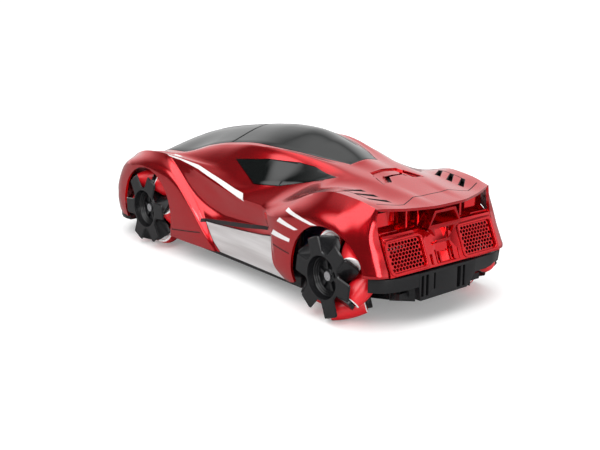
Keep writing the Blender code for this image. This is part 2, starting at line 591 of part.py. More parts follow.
# Battery bay, circuit board and switch
BAY_X = (-0.5 * BATTERY[0] - 33, 0.5 * BATTERY[0] - 33)
BAY_Y = BATTERY[1] / 2
cover_x = (BAY_X[0] - 2, BAY_X[1] + 7)
cover_y = (-BAY_Y - 1.5, BAY_Y + 1.5)
hatch_x = (cover_x[0] - FIT, cover_x[1] + FIT)
hatch_y = (cover_y[0] - FIT, cover_y[1] + FIT)
cut(chassis, box("hatch", hatch_x, hatch_y, (FLOOR_Z - 3, FLOOR_TOP + 3)))
tab_x = (BAY_X[1] + 1.5, hatch_x[1] + 2)
join(chassis, box("tab", tab_x, (-6, 6), (FLOOR_TOP - 0.2, FLOOR_TOP + 3)))
cover = box("battery_cover", cover_x, cover_y, (FLOOR_Z, FLOOR_TOP - 0.2 - FIT), "black_plastic")
screw_x = BAY_X[1] + 4.2
screw_at = (screw_x, 0, FLOOR_Z)
cut(cover, turned("hole", [(-2, 1.8 + FIT), (1.1, 1.8 + FIT)], 12, screw_at, (0, 0, 1)))
cut(cover, turned("hole", [(-2, 0.9 + FIT), (6, 0.9 + FIT)], 12, screw_at, (0, 0, 1)))
cut(chassis, turned("hole", [(-2, 0.9 + FIT), (9, 0.9 + FIT)], 12, screw_at, (0, 0, 1)))
stations = [(0.1, 1.8), (1.1 - FIT, 1.8), (1.1 - FIT, 0.9), (FLOOR_WALL + 2, 0.9)]
turned("cover_screw", stations, 10, screw_at, (0, 0, 1), "steel")
pack_z = FLOOR_TOP - 0.2
box("battery_pack", BAY_X, (-BAY_Y, BAY_Y), (pack_z, pack_z + BATTERY[2]), "battery_wrap")

board_x = (tab_x[1] + 3, tab_x[1] + 37)
board_z = FLOOR_TOP + 8.5
board = box("circuit_board", board_x, (-16, 16), (board_z, board_z + 1.6), "board_green")
join(board, box("chip", (board_x[0] + 6, board_x[0] + 14), (-4, 4), (board_z + 1, board_z + 3)),
     box("socket", (board_x[1] - 8, board_x[1] - 3), (-9, 2), (board_z + 1, board_z + 6)),
     turned("coil", [(board_z + 1, 3), (board_z + 7, 3)], 12, (board_x[0] + 22, 9, 0), (0, 0, 1)))
for x in (board_x[0] + 4, board_x[1] - 4):
    for y in (-12, 12):
        rise = [(FLOOR_TOP - 1, 2.2), (board_z - FIT, 2.2)]
        join(chassis, turned("post", rise, 10, (x, y, 0), (0, 0, 1)))

KEY_X, KEY_Y, KEY_TRAVEL = 18.0 * SX, -32.0 * SY, 4.0
slot_x = (KEY_X - 2 - FIT, KEY_X + 2 + KEY_TRAVEL + FIT)
cut(chassis, box("slot", slot_x, (KEY_Y - 1.5 - FIT, KEY_Y + 1.5 + FIT), (FLOOR_Z - 3, FLOOR_TOP + 1)))
key_at = (KEY_X, KEY_Y, FLOOR_TOP)
switch = box("power_switch", (KEY_X - 2, KEY_X + 2), (KEY_Y - 1.5, KEY_Y + 1.5),
             (FLOOR_Z + 0.4, FLOOR_TOP + 1), "nylon", key_at)
join(switch, box("flange", (KEY_X - 7, KEY_X + 7), (KEY_Y - 3.5, KEY_Y + 3.5),
                 (FLOOR_TOP + FIT, FLOOR_TOP + 1.8)))

# Rear bumper with its slots
rear_z = 28.1 * SZ
block = [(27, 28.1), (27, 21), (23, 13.2)]
block = [(y * SY, z * SZ) for y, z in block + [(-y, z) for y, z in block[::-1]]]
bumper = prism("rear_bumper", block, -134.4 * SX, TUB_X[0] - FIT, rearward, "black_plastic")
for s in SIDES.values():
    wing = [(-134.2, 20), (-133.5, 33), (-131.3, 40.5), (-128.5, 43.6), (-124.6, 46.8), (-123.4, 45.4),
            (-127.3, 42), (-129.2, 39), (-131, 32), (-131.8, 20)]
    wing = [(x * SX, s * y * SY) for x, y in wing]
    join(bumper, prism("wing", wing, 21 * SZ, rear_z, plan))
for y in (15.6, 12.8, 7.6, -12.8, -15.6):
    y_slot = ((y - 0.65) * SY, (y + 0.65) * SY)
    cut(bumper, box("slot", (-140 * SX, -131.5 * SX), y_slot, (16 * SZ, 26.5 * SZ)))
cut(bumper, turned("hole", [(0, 1.2), (12, 1.2)], 12, (-142 * SX, 24.5 * SY, 18 * SZ), (1, 0, 0)))

# Rear panel: a leaning plate with two framed openings, and a shelf under the spoiler
LEAN = math.radians(24)
FOOT = Vector((-133.4 * SX, 0, 29.3 * SZ))
UP = Vector((math.sin(LEAN), 0, math.cos(LEAN)))
OUT = Vector((-math.cos(LEAN), 0, math.sin(LEAN)))


def tail(u, v, w):
    return FOOT + Vector((0, u, 0)) + UP * v + OUT * w


def rounded(y, v, r):
    points = []
    left, right, low, high = y[1] - r, y[0] + r, v[0] + r, v[1] - r
    for k, (cy, cv) in enumerate(((left, high), (right, high), (right, low), (left, low))):
        for i in range(4):
            a = math.pi / 2 * (k + i / 3)
            points.append((cy + r * math.cos(a), cv + r * math.sin(a)))
    return points


half_y = 39 * SY
plate = [(-half_y, 0), (half_y, 0), (half_y, 19.6 * SZ), (-half_y, 19.6 * SZ)]
panel = prism("rear_panel", plate, -2, 0, tail, "red_plating")
shelf_top = tail(0, 19.6 * SZ, 0)
back = [(44, 45.6), (44, 52), (40.5, 58), (36, 60.5)]
back = [(y * SY, z * SZ) for y, z in back + [(-y, z) for y, z in back[::-1]]]
shelf_z = (shelf_top.z - 2.4, shelf_top.z - 0.4)
join(panel, box("shelf", (shelf_top.x - 0.5, -112 * SX), (-38.8 * SY, 38.8 * SY), shelf_z),
     prism("back", back, -114 * SX, -112 * SX, rearward))


def mirrored(outline):
    half = [(y * SY, z * SZ) for y, z in outline]
    return half + [(-y, z) for y, z in half[::-1]]


# Under the spoiler: cheeks and fins in the recess, a ledge over each grille and a duct in the middle
DUCT_X = -130.6 * SX
for s in SIDES.values():
    fins = [((26.5, 38.8), -123, 58.4), ((18.8, 20), -122.5, 58), ((10.7, 11.9), -122.5, 58)]
    for y_pair, x_front, top in fins:
        y_low, y_high = sorted((s * y_pair[0] * SY, s * y_pair[1] * SY))
        join(panel, box("fin", (x_front * SX, -113 * SX), (y_low, y_high), (46 * SZ, top * SZ)))
    y_low, y_high = sorted((s * 9.5 * SY, s * 38.6 * SY))
    ledge = [(-126.3, 46), (-125.4, 48.6), (-120.5, 49.4), (-120.5, 46)]
    join(panel, prism("ledge", [(x * SX, z * SZ) for x, z in ledge], y_low, y_high, profile))
join(panel, prism("column", mirrored([(11.6, 49.6), (8.7, 47.5), (4.7, 42.4), (6.9, 30.2)]),
                  -130 * SX, -126.5 * SX, rearward))
cut(panel, prism("pocket", mirrored([(3.6, 42.6), (4.6, 40.5), (6.2, 31)]), -140 * SX, -130 * SX, rearward))
join(panel, prism("rib", mirrored([(2.9, 38.5), (3.9, 31.2)]), -131.2 * SX, -129 * SX, rearward))
join(panel, prism("duct", mirrored([(11.8, 49.2), (7.4, 57.8)]), DUCT_X, -113 * SX, rearward))
cut(panel, prism("mouth", mirrored([(10.1, 50.6), (6.3, 56.5)]), DUCT_X - 5, -115.5 * SX, rearward))
for side, s in SIDES.items():
    frame_y = tuple(sorted((s * 13.6 * SY, s * 37.4 * SY)))
    frame_v = (1.6 * SZ, 17.6 * SZ)
    grown_y = (frame_y[0] - 1.4, frame_y[1] + 1.4)
    grown_v = (frame_v[0] - 1.3, frame_v[1] + 1.3)
    join(panel, prism("frame", rounded(grown_y, grown_v, 3.0), -1, 0.8, tail))
    cut(panel, prism("opening", rounded(frame_y, frame_v, 2.0), -6, 6, tail))
    mesh_y = (frame_y[0] + FIT, frame_y[1] - FIT)
    mesh_v = (frame_v[0] + FIT, frame_v[1] - FIT)
    grille = prism(side + "_tail_grille", rounded(mesh_y, mesh_v, 1.8), -1.8, -0.6, tail, "red_plating")
    columns, rows = 5, 4
    pitch_y = (mesh_y[1] - mesh_y[0] - 1) / (columns + 0.5)
    pitch_v = (mesh_v[1] - mesh_v[0] - 1) / rows
    hole_r = 0.47 * min(pitch_y, pitch_v)
    points, faces = [], []
    for i in range(columns):
        for j in range(rows):
            middle = (mesh_y[0] + 0.5 + pitch_y * (i + 0.5 + 0.5 * (j % 2)),
                      mesh_v[0] + 0.5 + pitch_v * (j + 0.5))
            ring = ring_points(hole_r, 6, middle, math.pi / 6)
            n = len(points)
            points += [tail(u, v, -4) for u, v in ring] + [tail(u, v, 4) for u, v in ring]
            faces += [[n + m, n + (m + 1) % 6, n + (m + 1) % 6 + 6, n + m + 6] for m in range(6)]
            faces += [list(range(n, n + 6)), list(range(n + 6, n + 12))]
    cut(grille, solid("holes", points, faces))

# Front bumper: a splitter plate that follows the nose lip and a grille wall behind the lip
lip = [skin(0, v) for v in (9, 8, 7, 6, 5, 4, 3, 2, 1, 0, -1, -2, -3, -4, -5, -6, -7, -8, -9)]
splitter = [(TUB_X[1] + FIT, 50 * SY)] + [(p[0] - 1.2, p[1] * 0.985) for p in lip]
splitter += [(TUB_X[1] + FIT, -50 * SY)]
front = prism("front_bumper", splitter, FLOOR_Z + 1.5, 12.9 * SZ, plan, "black_plastic")
wall = [(p[0] - 4.2, p[1] * 0.94) for p in lip[2:-2]] + [(p[0] - 6.4, p[1] * 0.9) for p in lip[-3:1:-1]]
join(front, prism("wall", wall, 12 * SZ, 21 * SZ, plan))
for k in range(-3, 4):
    y_slot = ((k * 8 - 2.5) * SY, (k * 8 + 2.5) * SY)
    cut(front, box("slot", (115 * SX, 150 * SX), y_slot, (14.2 * SZ, 18.8 * SZ)))
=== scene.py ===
"""Finish of the toy drift car: fine body panels, glass, wheels and tail over the CAD bodies."""
import math

import bmesh
import bpy
import numpy as np
from mathutils import Matrix, Vector


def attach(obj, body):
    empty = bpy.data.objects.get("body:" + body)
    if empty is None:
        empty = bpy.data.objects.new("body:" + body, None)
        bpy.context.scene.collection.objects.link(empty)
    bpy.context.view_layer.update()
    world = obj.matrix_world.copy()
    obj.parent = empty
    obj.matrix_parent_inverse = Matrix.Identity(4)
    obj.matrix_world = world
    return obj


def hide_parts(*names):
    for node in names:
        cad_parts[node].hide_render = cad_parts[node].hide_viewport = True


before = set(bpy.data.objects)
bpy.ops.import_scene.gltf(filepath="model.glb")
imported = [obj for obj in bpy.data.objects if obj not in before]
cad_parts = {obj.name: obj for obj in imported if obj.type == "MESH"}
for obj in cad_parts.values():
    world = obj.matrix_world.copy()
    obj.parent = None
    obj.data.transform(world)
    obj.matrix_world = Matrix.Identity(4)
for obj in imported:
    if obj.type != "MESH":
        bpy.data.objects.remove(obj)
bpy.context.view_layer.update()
MM = 0.001
SIDES = {"left": 1, "right": -1}

# Wheel sizes in mm, as in the CAD; an axle has its place along X and the lean of its rollers
AXLES = {"front": (74.0, -1), "rear": (-98.6, 1)}
WHEEL_R, WHEEL_W, WHEEL_MID = 24.0, 25.0, 42.8
ROLLERS, AXIS_R, ROLLER_HALF, PIN_R = 6, 17.75, 9.8, 1.25
PHASE, SCREW_OUT = math.radians(21), 6.9
HUB_HALF = WHEEL_W / 2 - 0.2
DRUM_R, RIM_R, BORE_R, DISH_DEPTH, CLAW_WALL = 10.3, 12.5, 1.8, 6.4, 2
# One tooth of a hub's face as (degrees, radius), and the dish's rings as (rise over its floor, radius)
TOOTH = [(-23, 13.3), (-13.2, 20.8), (-11.4, 21.7), (11.4, 21.7), (13.2, 20.8), (23, 13.3)]
DISH_RINGS = [(-0.5, 1.8), (-0.5, 9.2), (3.1, 10.7), (3.5, 10.3), (3.2, 9.9), (2.5, 9.75), (2.75, 9.35),
              (2.4, 9), (1.7, 8.85), (1.9, 8.45), (1.5, 8.1), (0.4, 7.95), (0.4, 4.1), (1.3, 3.9),
              (1.7, 3.5), (1.7, 1.8)]
SPOKE = [(3.5, -0.9), (8.3, -1.5), (8.3, 1.5), (3.5, 0.9)]
TOOTH_TURN = {-1: math.radians(-14), 1: 0.0}


# Finishes: a wire joins in sums, and each sum adds a Math node to its tree
class Wire:
    def __init__(self, nodes, socket):
        self.nodes = nodes
        self.socket = socket

    def sum(self, how, other=0.0, swap=False, clamp=False):
        pair = (other, self) if swap else (self, other)
        settings = {"operation": how, "use_clamp": clamp}
        return self.nodes.node("ShaderNodeMath", settings, {0: pair[0], 1: pair[1]})

    def __add__(self, other):
        return self.sum("ADD", other)

    def __sub__(self, other):
        return self.sum("SUBTRACT", other)

    def __rsub__(self, other):
        return self.sum("SUBTRACT", other, True)

    def __mul__(self, other):
        return self.sum("MULTIPLY", other)

    def __truediv__(self, other):
        return self.sum("DIVIDE", other)

    def __abs__(self):
        return self.sum("ABSOLUTE")

    __radd__ = __add__
    __rmul__ = __mul__

    def most(self, other):
        return self.sum("MAXIMUM", other)

    def over(self, limit, soft):
        """0 below the limit and 1 above it, with a soft step."""
        return ((self - limit) / soft).sum("ADD", 0.5, clamp=True)


class Nodes:
    """A node tree whose shader takes plain values and wires."""

    def __init__(self, tree, shader):
        self.tree = tree
        self.shader = tree.nodes[shader]

    def link(self, socket, value):
        if isinstance(value, Wire):
            self.tree.links.new(value.socket, socket)
        else:
            socket.default_value = value

    def feed(self, socket, value):
        self.link(self.shader.inputs[socket], value)

    def node(self, kind, settings, sockets, output=0):
        made = self.tree.nodes.new(kind)
        for key, value in settings.items():
            setattr(made, key, value)
        for key, value in sockets.items():
            self.link(made.inputs[key], value)
        return Wire(self, made.outputs[output])

    def place(self, which="Object"):
        return self.node("ShaderNodeTexCoord", {}, {}, which)

    def ray(self, which):
        return self.node("ShaderNodeLightPath", {}, {}, which)


class Finish(Nodes):
    """A Principled material of one colour, roughness and metalness, with room for patterns."""

    def __init__(self, name, colour, rough, metal=0.0, **sockets):
        self.material = bpy.data.materials.new(name)
        self.material.use_nodes = True
        super().__init__(self.material.node_tree, "Principled BSDF")
        self.feed("Base Color", (*colour, 1))
        self.feed("Roughness", rough)
        self.feed("Metallic", metal)
        for socket, value in sockets.items():
            self.feed(socket.replace("_", " "), value)

    def axes(self, which="Object"):
        """The three object coordinates in millimetres, or the two of the UV map."""
        place = self.place(which)
        scale = 1000 if which == "Object" else 1
        parts = [self.node("ShaderNodeSeparateXYZ", {}, {0: place}, i) for i in range(3)]
        return [part * scale for part in parts] if scale > 1 else parts

    def noise(self, scale, detail=2.0, stretch=(1, 1, 1)):
        spot = self.node("ShaderNodeMapping", {}, {0: self.place(), "Scale": stretch})
        return self.node("ShaderNodeTexNoise", {}, {"Vector": spot, "Scale": scale, "Detail": detail})

    def mix(self, factor, low, high):
        low = (*low, 1) if isinstance(low, tuple) else low
        high = (*high, 1) if isinstance(high, tuple) else high
        return self.node("ShaderNodeMix", {"data_type": "RGBA"}, {0: factor, 6: low, 7: high}, 2)

    def bump(self, height, strength, distance):
        sockets = {"Strength": strength, "Distance": distance, "Height": height}
        self.feed("Normal", self.node("ShaderNodeBump", {}, sockets))

    def inside(self, u, v, outline, soft=0.25):
        """1 inside a convex outline of (u, v) corners that run anticlockwise."""
        mask = None
        for (u0, v0), (u1, v1) in zip(outline, outline[1:] + outline[:1]):
            size = math.hypot(u1 - u0, v1 - v0)
            du, dv = (u1 - u0) / size, (v1 - v0) / size
            step = (v * du - u * dv).over(v0 * du - u0 * dv, soft)
            mask = step if mask is None else mask * step
        return mask

    def ribbon(self, u, v, top, bottom, soft=0.12):
        """1 between an upper and a lower edge that run toward lower u."""
        mask = None
        for a, b, c, d in zip(top, top[1:], bottom[1:], bottom):
            band = self.inside(u, v, [a, b, c, d], soft)
            mask = band if mask is None else mask.most(band)
        return mask

    def track(self, u, v, points, width, soft=0.2):
        """1 on a thin line through (u, v) points."""
        mask = None
        for (u0, v0), (u1, v1) in zip(points, points[1:]):
            size = math.hypot(u1 - u0, v1 - v0)
            nu, nv = -(v1 - v0) / size * width / 2, (u1 - u0) / size * width / 2
            corners = [(u0 - nu, v0 - nv), (u1 - nu, v1 - nv), (u1 + nu, v1 + nv), (u0 + nu, v0 + nv)]
            band = self.inside(u, v, corners, soft)
            mask = band if mask is None else mask.most(band)
        return mask


# Hand tools: one piece at a time is picked, shaped in edit mode and finished with modifiers
def clear():
    if bpy.context.mode != "OBJECT":
        bpy.ops.object.mode_set(mode="OBJECT")
    bpy.ops.object.select_all(action="DESELECT")


def take(*objs):
    clear()
    for obj in objs:
        obj.select_set(True)
    bpy.context.view_layer.objects.active = objs[0]


def edit(obj):
    take(obj)
    bpy.ops.object.mode_set(mode="EDIT")
    bpy.ops.mesh.select_mode(type="FACE")
    bpy.ops.mesh.select_all(action="SELECT")


def pick(kind, test):
    """Select the faces, edges or corners of the piece in edit mode that pass the test."""
    bpy.ops.mesh.select_mode(type=kind)
    bpy.ops.mesh.select_all(action="DESELECT")
    mesh = bmesh.from_edit_mesh(bpy.context.object.data)
    for cell in {"FACE": mesh.faces, "EDGE": mesh.edges, "VERT": mesh.verts}[kind]:
        if test(cell):
            cell.select_set(True)
    mesh.select_flush_mode()
    bmesh.update_edit_mesh(bpy.context.object.data)


def add(name, make, **sizes):
    clear()
    make(**sizes)
    obj = bpy.context.object
    obj.name = obj.data.name = name
    return obj


def outward(obj):
    edit(obj)
    bpy.ops.mesh.normals_make_consistent(inside=False)
    clear()
    return obj


def plate(name, outline, low, high):
    """A disc's corners go to the outline in XY and its face is pulled up in Z."""
    obj = add(name, bpy.ops.mesh.primitive_circle_add, vertices=len(outline), fill_type="NGON")
    for corner, (x, y) in zip(obj.data.vertices, outline):
        corner.co = Vector((x, y, low)) * MM
    edit(obj)
    bpy.ops.mesh.extrude_region_move(TRANSFORM_OT_translate={"value": (0, 0, (high - low) * MM)})
    return outward(obj)


def turned(name, stations, sides=48, closed=False):
    """A ring is pulled along Z and scaled from one (height, radius) station to the next."""
    obj = add(name, bpy.ops.mesh.primitive_circle_add, vertices=sides, radius=stations[0][1] * MM)
    edit(obj)
    bpy.ops.mesh.select_mode(type="EDGE")
    bpy.ops.mesh.select_all(action="SELECT")
    bpy.ops.transform.translate(value=(0, 0, stations[0][0] * MM))
    for (z0, r0), (z1, r1) in zip(stations, stations[1:]):
        bpy.ops.mesh.extrude_region_move(TRANSFORM_OT_translate={"value": (0, 0, (z1 - z0) * MM)})
        if abs(r1 - r0) > 1e-6:
            bpy.ops.transform.resize(value=(r1 / r0, r1 / r0, 1), center_override=(0, 0, z1 * MM))
    pick("EDGE", lambda e: e.is_boundary)
    if closed:
        bpy.ops.mesh.bridge_edge_loops()
    else:
        bpy.ops.mesh.fill_holes(sides=0)
    return outward(obj)


def place(obj, matrix):
    obj.data.transform(matrix)
    if matrix.determinant() < 0:
        obj.data.flip_normals()
    return obj


def twin(obj, name):
    copy = bpy.data.objects.new(name, obj.data.copy())
    copy.data.name = name
    bpy.context.scene.collection.objects.link(copy)
    return copy


def apply(obj):
    take(obj)
    for mod in list(obj.modifiers):
        bpy.ops.object.modifier_apply(modifier=mod.name)
    return obj


def group(*objs):
    take(*objs)
    bpy.ops.object.join()
    return objs[0]


def combine(obj, tool, how="DIFFERENCE"):
    mod = obj.modifiers.new(how, "BOOLEAN")
    mod.object = tool
    mod.operation = how
    mod.solver = "EXACT"
    apply(obj)
    bpy.data.objects.remove(tool)
    return obj


def eased(obj, width, segments=2, angle=32):
    """Round the edges a little and shade the piece smooth between them."""
    mod = obj.modifiers.new("ease", "BEVEL")
    mod.width = width * MM
    mod.segments = segments
    mod.limit_method = "ANGLE"
    mod.angle_limit = math.radians(angle)
    mod.miter_outer = "MITER_ARC"
    apply(obj)
    return smooth(obj)


def smooth(obj, angle=36):
    take(obj)
    bpy.ops.object.shade_smooth_by_angle(angle=math.radians(angle))
    return obj


def mirrored(points, s):
    """Plan points on the left side, or their mirror image on the right."""
    return [(x, s * y) for x, y in points]


def done(obj, finish, body, slot, *nodes):
    """Give a finished piece its material and body, in place of the CAD nodes."""
    obj.data.materials.clear()
    obj.data.materials.append(finish.material)
    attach(obj, body)
    if nodes:
        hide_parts(*nodes)
    return obj


def axes_matrix(x, y, z, at):
    """Matrix that takes X, Y and Z of a piece to three directions and its origin to a place in mm."""
    turn = Matrix((x, y, z)).transposed().to_4x4()
    return Matrix.Translation(Vector(at) * MM) @ turn


# A plate's outline stands in XZ or in YZ of the car
SIDEWAYS = Matrix(((1, 0, 0, 0), (0, 0, 1, 0), (0, 1, 0, 0), (0, 0, 0, 1)))
REARWARD = Matrix(((0, 0, 1, 0), (1, 0, 0, 0), (0, 1, 0, 0), (0, 0, 0, 1)))

# Body surface: feature lines from the nose lip to the tail on the left half, as on the CAD shell
LINES = {
    "centre": [(134.4, 0, 19.5), (133.4, 0, 25), (127.4, 0, 34), (115.4, 0, 46), (101.4, 0, 54.5),
        (90.4, 0, 60), (75.4, 0, 66), (61.4, 0, 70.3), (45.4, 0, 74), (28.4, 0, 77.3), (10.4, 0, 80.3),
        (-9.1, 0, 82.6), (-24.1, 0, 83.2), (-43.6, 0, 80), (-68.1, 0, 72.8), (-92.6, 0, 68.2),
        (-116.6, 0, 64), (-134.1, 0, 61.8)],
    "glass": [(133.6, 15, 19.5), (131.9, 16, 26), (124.4, 19, 35), (110.4, 24, 45), (95.4, 28, 52.5),
        (79.4, 31, 57), (60.9, 32, 59.2), (36.4, 28.7, 67.1), (17.9, 27.5, 71.3), (-11.6, 26.2, 74.9),
        (-33.6, 21.7, 74.3), (-52.6, 16, 72.6), (-69, 9.8, 70.8), (-92.6, 8, 67.9), (-119.6, 7, 63.5),
        (-134, 7, 61.8)],
    "rail": [(132.4, 21.5, 19.5), (129.9, 23, 28), (121.4, 27, 38), (105.4, 32, 47.5), (89.4, 35, 54),
        (75.4, 36, 57.3), (63.4, 35, 58.7), (37.9, 32.2, 65.4), (17.1, 31.1, 69.4), (-3.4, 30.3, 72.6),
        (-24.1, 28.3, 73.8), (-50.3, 22.9, 72.3), (-71, 19.3, 69.7), (-91.6, 16.1, 67.6),
        (-119.6, 12.6, 63.8), (-133.4, 12.4, 61.8)],
    "belt": [(130.9, 28, 19.5), (127.4, 30.5, 29), (118.4, 34, 40), (105.4, 37, 48.5),
        (89.4, 40, 55.5), (75.4, 41, 58.3), (62.4, 40, 58.9), (41.4, 39, 59.3), (20.9, 38.6, 59),
        (0.7, 39, 57.6), (-19.3, 39.9, 54.8), (-40.6, 35.8, 57.6), (-57.9, 31.1, 61.8),
        (-75.6, 28, 65.5), (-93.6, 26.5, 65.2), (-116.6, 25.5, 62.8), (-128.6, 26, 61.8)],
    "shoulder": [(127.9, 34, 19), (124.9, 36.5, 30), (116.4, 39.5, 41.5), (106.4, 42.2, 49.3),
        (95.4, 44.3, 54.7), (85.4, 45.2, 57.6), (75.4, 45.4, 58.9), (63.4, 44.7, 59.3),
        (42.8, 44.7, 56.7), (22.6, 45.6, 53.5), (2.4, 46, 50), (-18, 46, 47.3), (-36.1, 46, 47.3),
        (-48.6, 45.1, 50.8), (-61.6, 44.3, 55.8), (-73.6, 44.2, 60.7), (-83.6, 43.3, 64),
        (-93.9, 42, 65.8), (-108.6, 41, 65), (-122.8, 40, 62.4)],
    "upper": [(123.9, 40, 18.5), (121.4, 42.5, 28), (114.9, 46.5, 37.5), (105.9, 49.5, 45.2),
        (93.4, 51.6, 50), (75.2, 52.1, 52.3), (58.1, 51.4, 51.6), (47.9, 50.3, 50.5),
        (41.9, 46.4, 49.1), (22.7, 46, 46), (2.1, 45.1, 43), (-18.2, 45.1, 40.9), (-38.1, 46, 41.7),
        (-43.6, 48.6, 43), (-54.6, 50.5, 46.7), (-71.2, 51.5, 51.4), (-88, 51.8, 54),
        (-104.6, 50.5, 54), (-116.1, 47.2, 52), (-122.4, 44.3, 49.8), (-124.2, 40, 49.6)],
    "mid": [(119.9, 45, 18), (118.2, 47, 25), (112.9, 50.3, 32), (104.4, 52.2, 38), (93.4, 52.9, 41),
        (76.4, 52.9, 42.9), (53.1, 52.6, 40.4), (32.4, 51.5, 38.1), (26.4, 47.3, 37.3),
        (2, 44.2, 33.9), (-28.3, 44.7, 34.8), (-44, 46.9, 36.6), (-49, 50.1, 37.2),
        (-70.2, 52.7, 40.5), (-96.9, 53, 42.4), (-109.6, 52.2, 41.8), (-118.6, 49.5, 41),
        (-125.9, 44.4, 40.5), (-127.9, 40, 40.3)],
    "silltop": [(114.9, 49, 17), (113.9, 50.2, 21.5), (109.9, 52, 26), (102.4, 52.9, 28.7),
        (76.8, 53, 30.5), (47.4, 52.8, 28.5), (21.6, 51.5, 27.9), (15.9, 47.8, 27.8),
        (-7.6, 47.3, 29.1), (-37.8, 47.8, 32), (-47.6, 48.6, 33.4), (-52.3, 51.1, 30.9),
        (-70.2, 52.7, 31.4), (-96.8, 53, 33.3), (-111.3, 52.5, 33.3), (-121.6, 50, 33),
        (-129.6, 44.3, 33), (-131.2, 40, 33)],
    "sill": [(109.9, 51, 15.5), (108.9, 51.6, 17.8), (103.9, 52.6, 19), (93.4, 52.9, 19),
        (47.4, 52.7, 17.8), (11.9, 51.5, 18.7), (6.4, 49.5, 18.2), (-16.9, 49.8, 18.7),
        (-48.6, 50.8, 19.4), (-57.9, 51.9, 19.6), (-70.2, 52.7, 21.3), (-96.8, 53, 29.5),
        (-113.3, 52.5, 30), (-123.1, 50, 30.2), (-130.8, 44.2, 30.6), (-132.1, 40, 30.5)],
    "edge": [(105.4, 51.6, 13.5), (103.4, 52, 13.8), (92.4, 52.2, 12), (46.4, 51.9, 11.5),
        (6.1, 50.5, 12.1), (1, 48.6, 12.2), (-37.6, 49.1, 12.2), (-62.2, 49.8, 12.1),
        (-66.6, 50.8, 12.4), (-71.2, 51.5, 13.5), (-97.3, 52.6, 27.8), (-113.6, 52.2, 28.4),
        (-123.4, 49.8, 28.8), (-131, 44, 29.2), (-132.4, 40, 29.2)],
}
NAMES = list(LINES)
# Where each line meets the fender's trailing edge, the haunch's leading edge and the rear corner
JOINTS = {
    "centre": (0.4, -53.6, -123.6),
    "glass": (0.4, -53.6, -123.6),
    "rail": (3.4, -53.6, -123.6),
    "belt": (20.4, -48.6, -121.6),
    "shoulder": (63.4, -42.6, -115.6),
    "upper": (47.9, -43.6, -116.1),
    "mid": (32.4, -49, -118.6),
    "silltop": (21.6, -52.3, -121.6),
    "sill": (11.9, -57.9, -123.1),
    "edge": (6.1, -66.6, -123.4),
}
CREASE = {"glass": 0.5, "rail": 0.3, "belt": 0.4, "shoulder": 0.8, "silltop": 0.9}


def curve(xs, ys, s):
    """Shape-keeping cubic through points in order of rising xs."""
    h = np.diff(xs)
    d = np.diff(ys) / h
    m = np.concatenate(([d[0]], np.zeros(len(d) - 1), [d[-1]]))
    for i in range(1, len(xs) - 1):
        if d[i - 1] * d[i] > 0:
            w1, w2 = 2 * h[i] + h[i - 1], h[i] + 2 * h[i - 1]
            m[i] = (w1 + w2) / (w1 / d[i - 1] + w2 / d[i])
    i = np.clip(np.searchsorted(xs, s) - 1, 0, len(h) - 1)
    t = (s - xs[i]) / h[i]
    return ((1 + 2 * t) * (1 - t) ** 2 * ys[i] + t * (1 - t) ** 2 * h[i] * m[i]
            + t * t * (3 - 2 * t) * ys[i + 1] + t * t * (t - 1) * h[i] * m[i + 1])


def feature(name, ts):
    pts = np.array(LINES[name], float)
    run = np.concatenate(([0], np.cumsum(np.abs(np.diff(pts[:, 0])) + 0.25 * np.abs(np.diff(pts[:, 1])))))
    marks = [0.0]
    for x in JOINTS[name]:
        drop = np.arange(len(pts))[pts[:, 0] <= x][0]
        a, b = pts[drop - 1, 0], pts[drop, 0]
        marks.append(run[drop - 1] + (run[drop] - run[drop - 1]) * (x - a) / (b - a))
    s = np.interp(ts, range(5), marks + [run[-1]])
    return np.stack([curve(run, pts[:, k], s) for k in range(3)], 1)


def skin(ts, vs):
    """Points of the outer surface: t runs nose to tail, v from the middle line down the side."""
    rows = [feature(name, np.array(ts)) for name in NAMES]
    mirror = np.array((1, -1, 1))
    grid = []
    for v in vs:
        i = min(int(abs(v)), len(NAMES) - 2)
        f = abs(v) - i
        p0 = rows[1] * mirror if i == 0 else rows[i - 1]
        p1, p2, p3 = rows[i], rows[i + 1], rows[min(i + 2, len(NAMES) - 1)]
        k1, k2 = CREASE.get(NAMES[i], 0.0), CREASE.get(NAMES[i + 1], 0.0)
        m1 = (1 - k1) * 0.5 * (p2 - p0) + k1 * (p2 - p1)
        m2 = (1 - k2) * 0.5 * (p3 - p1) + k2 * (p2 - p1)
        p = ((1 + 2 * f) * (1 - f) ** 2 * p1 + f * (1 - f) ** 2 * m1
             + f * f * (3 - 2 * f) * p2 + f * f * (f - 1) * m2)
        grid.append(p * mirror if v < 0 else p)
    return np.stack(grid)


def steps(stops, counts):
    out = []
    for a, b, n in zip(stops, stops[1:], counts):
        out += [a + (b - a) * i / n for i in range(n)]
    return out + [stops[-1]]


def both(half):
    return [-v for v in half[:0:-1]] + half


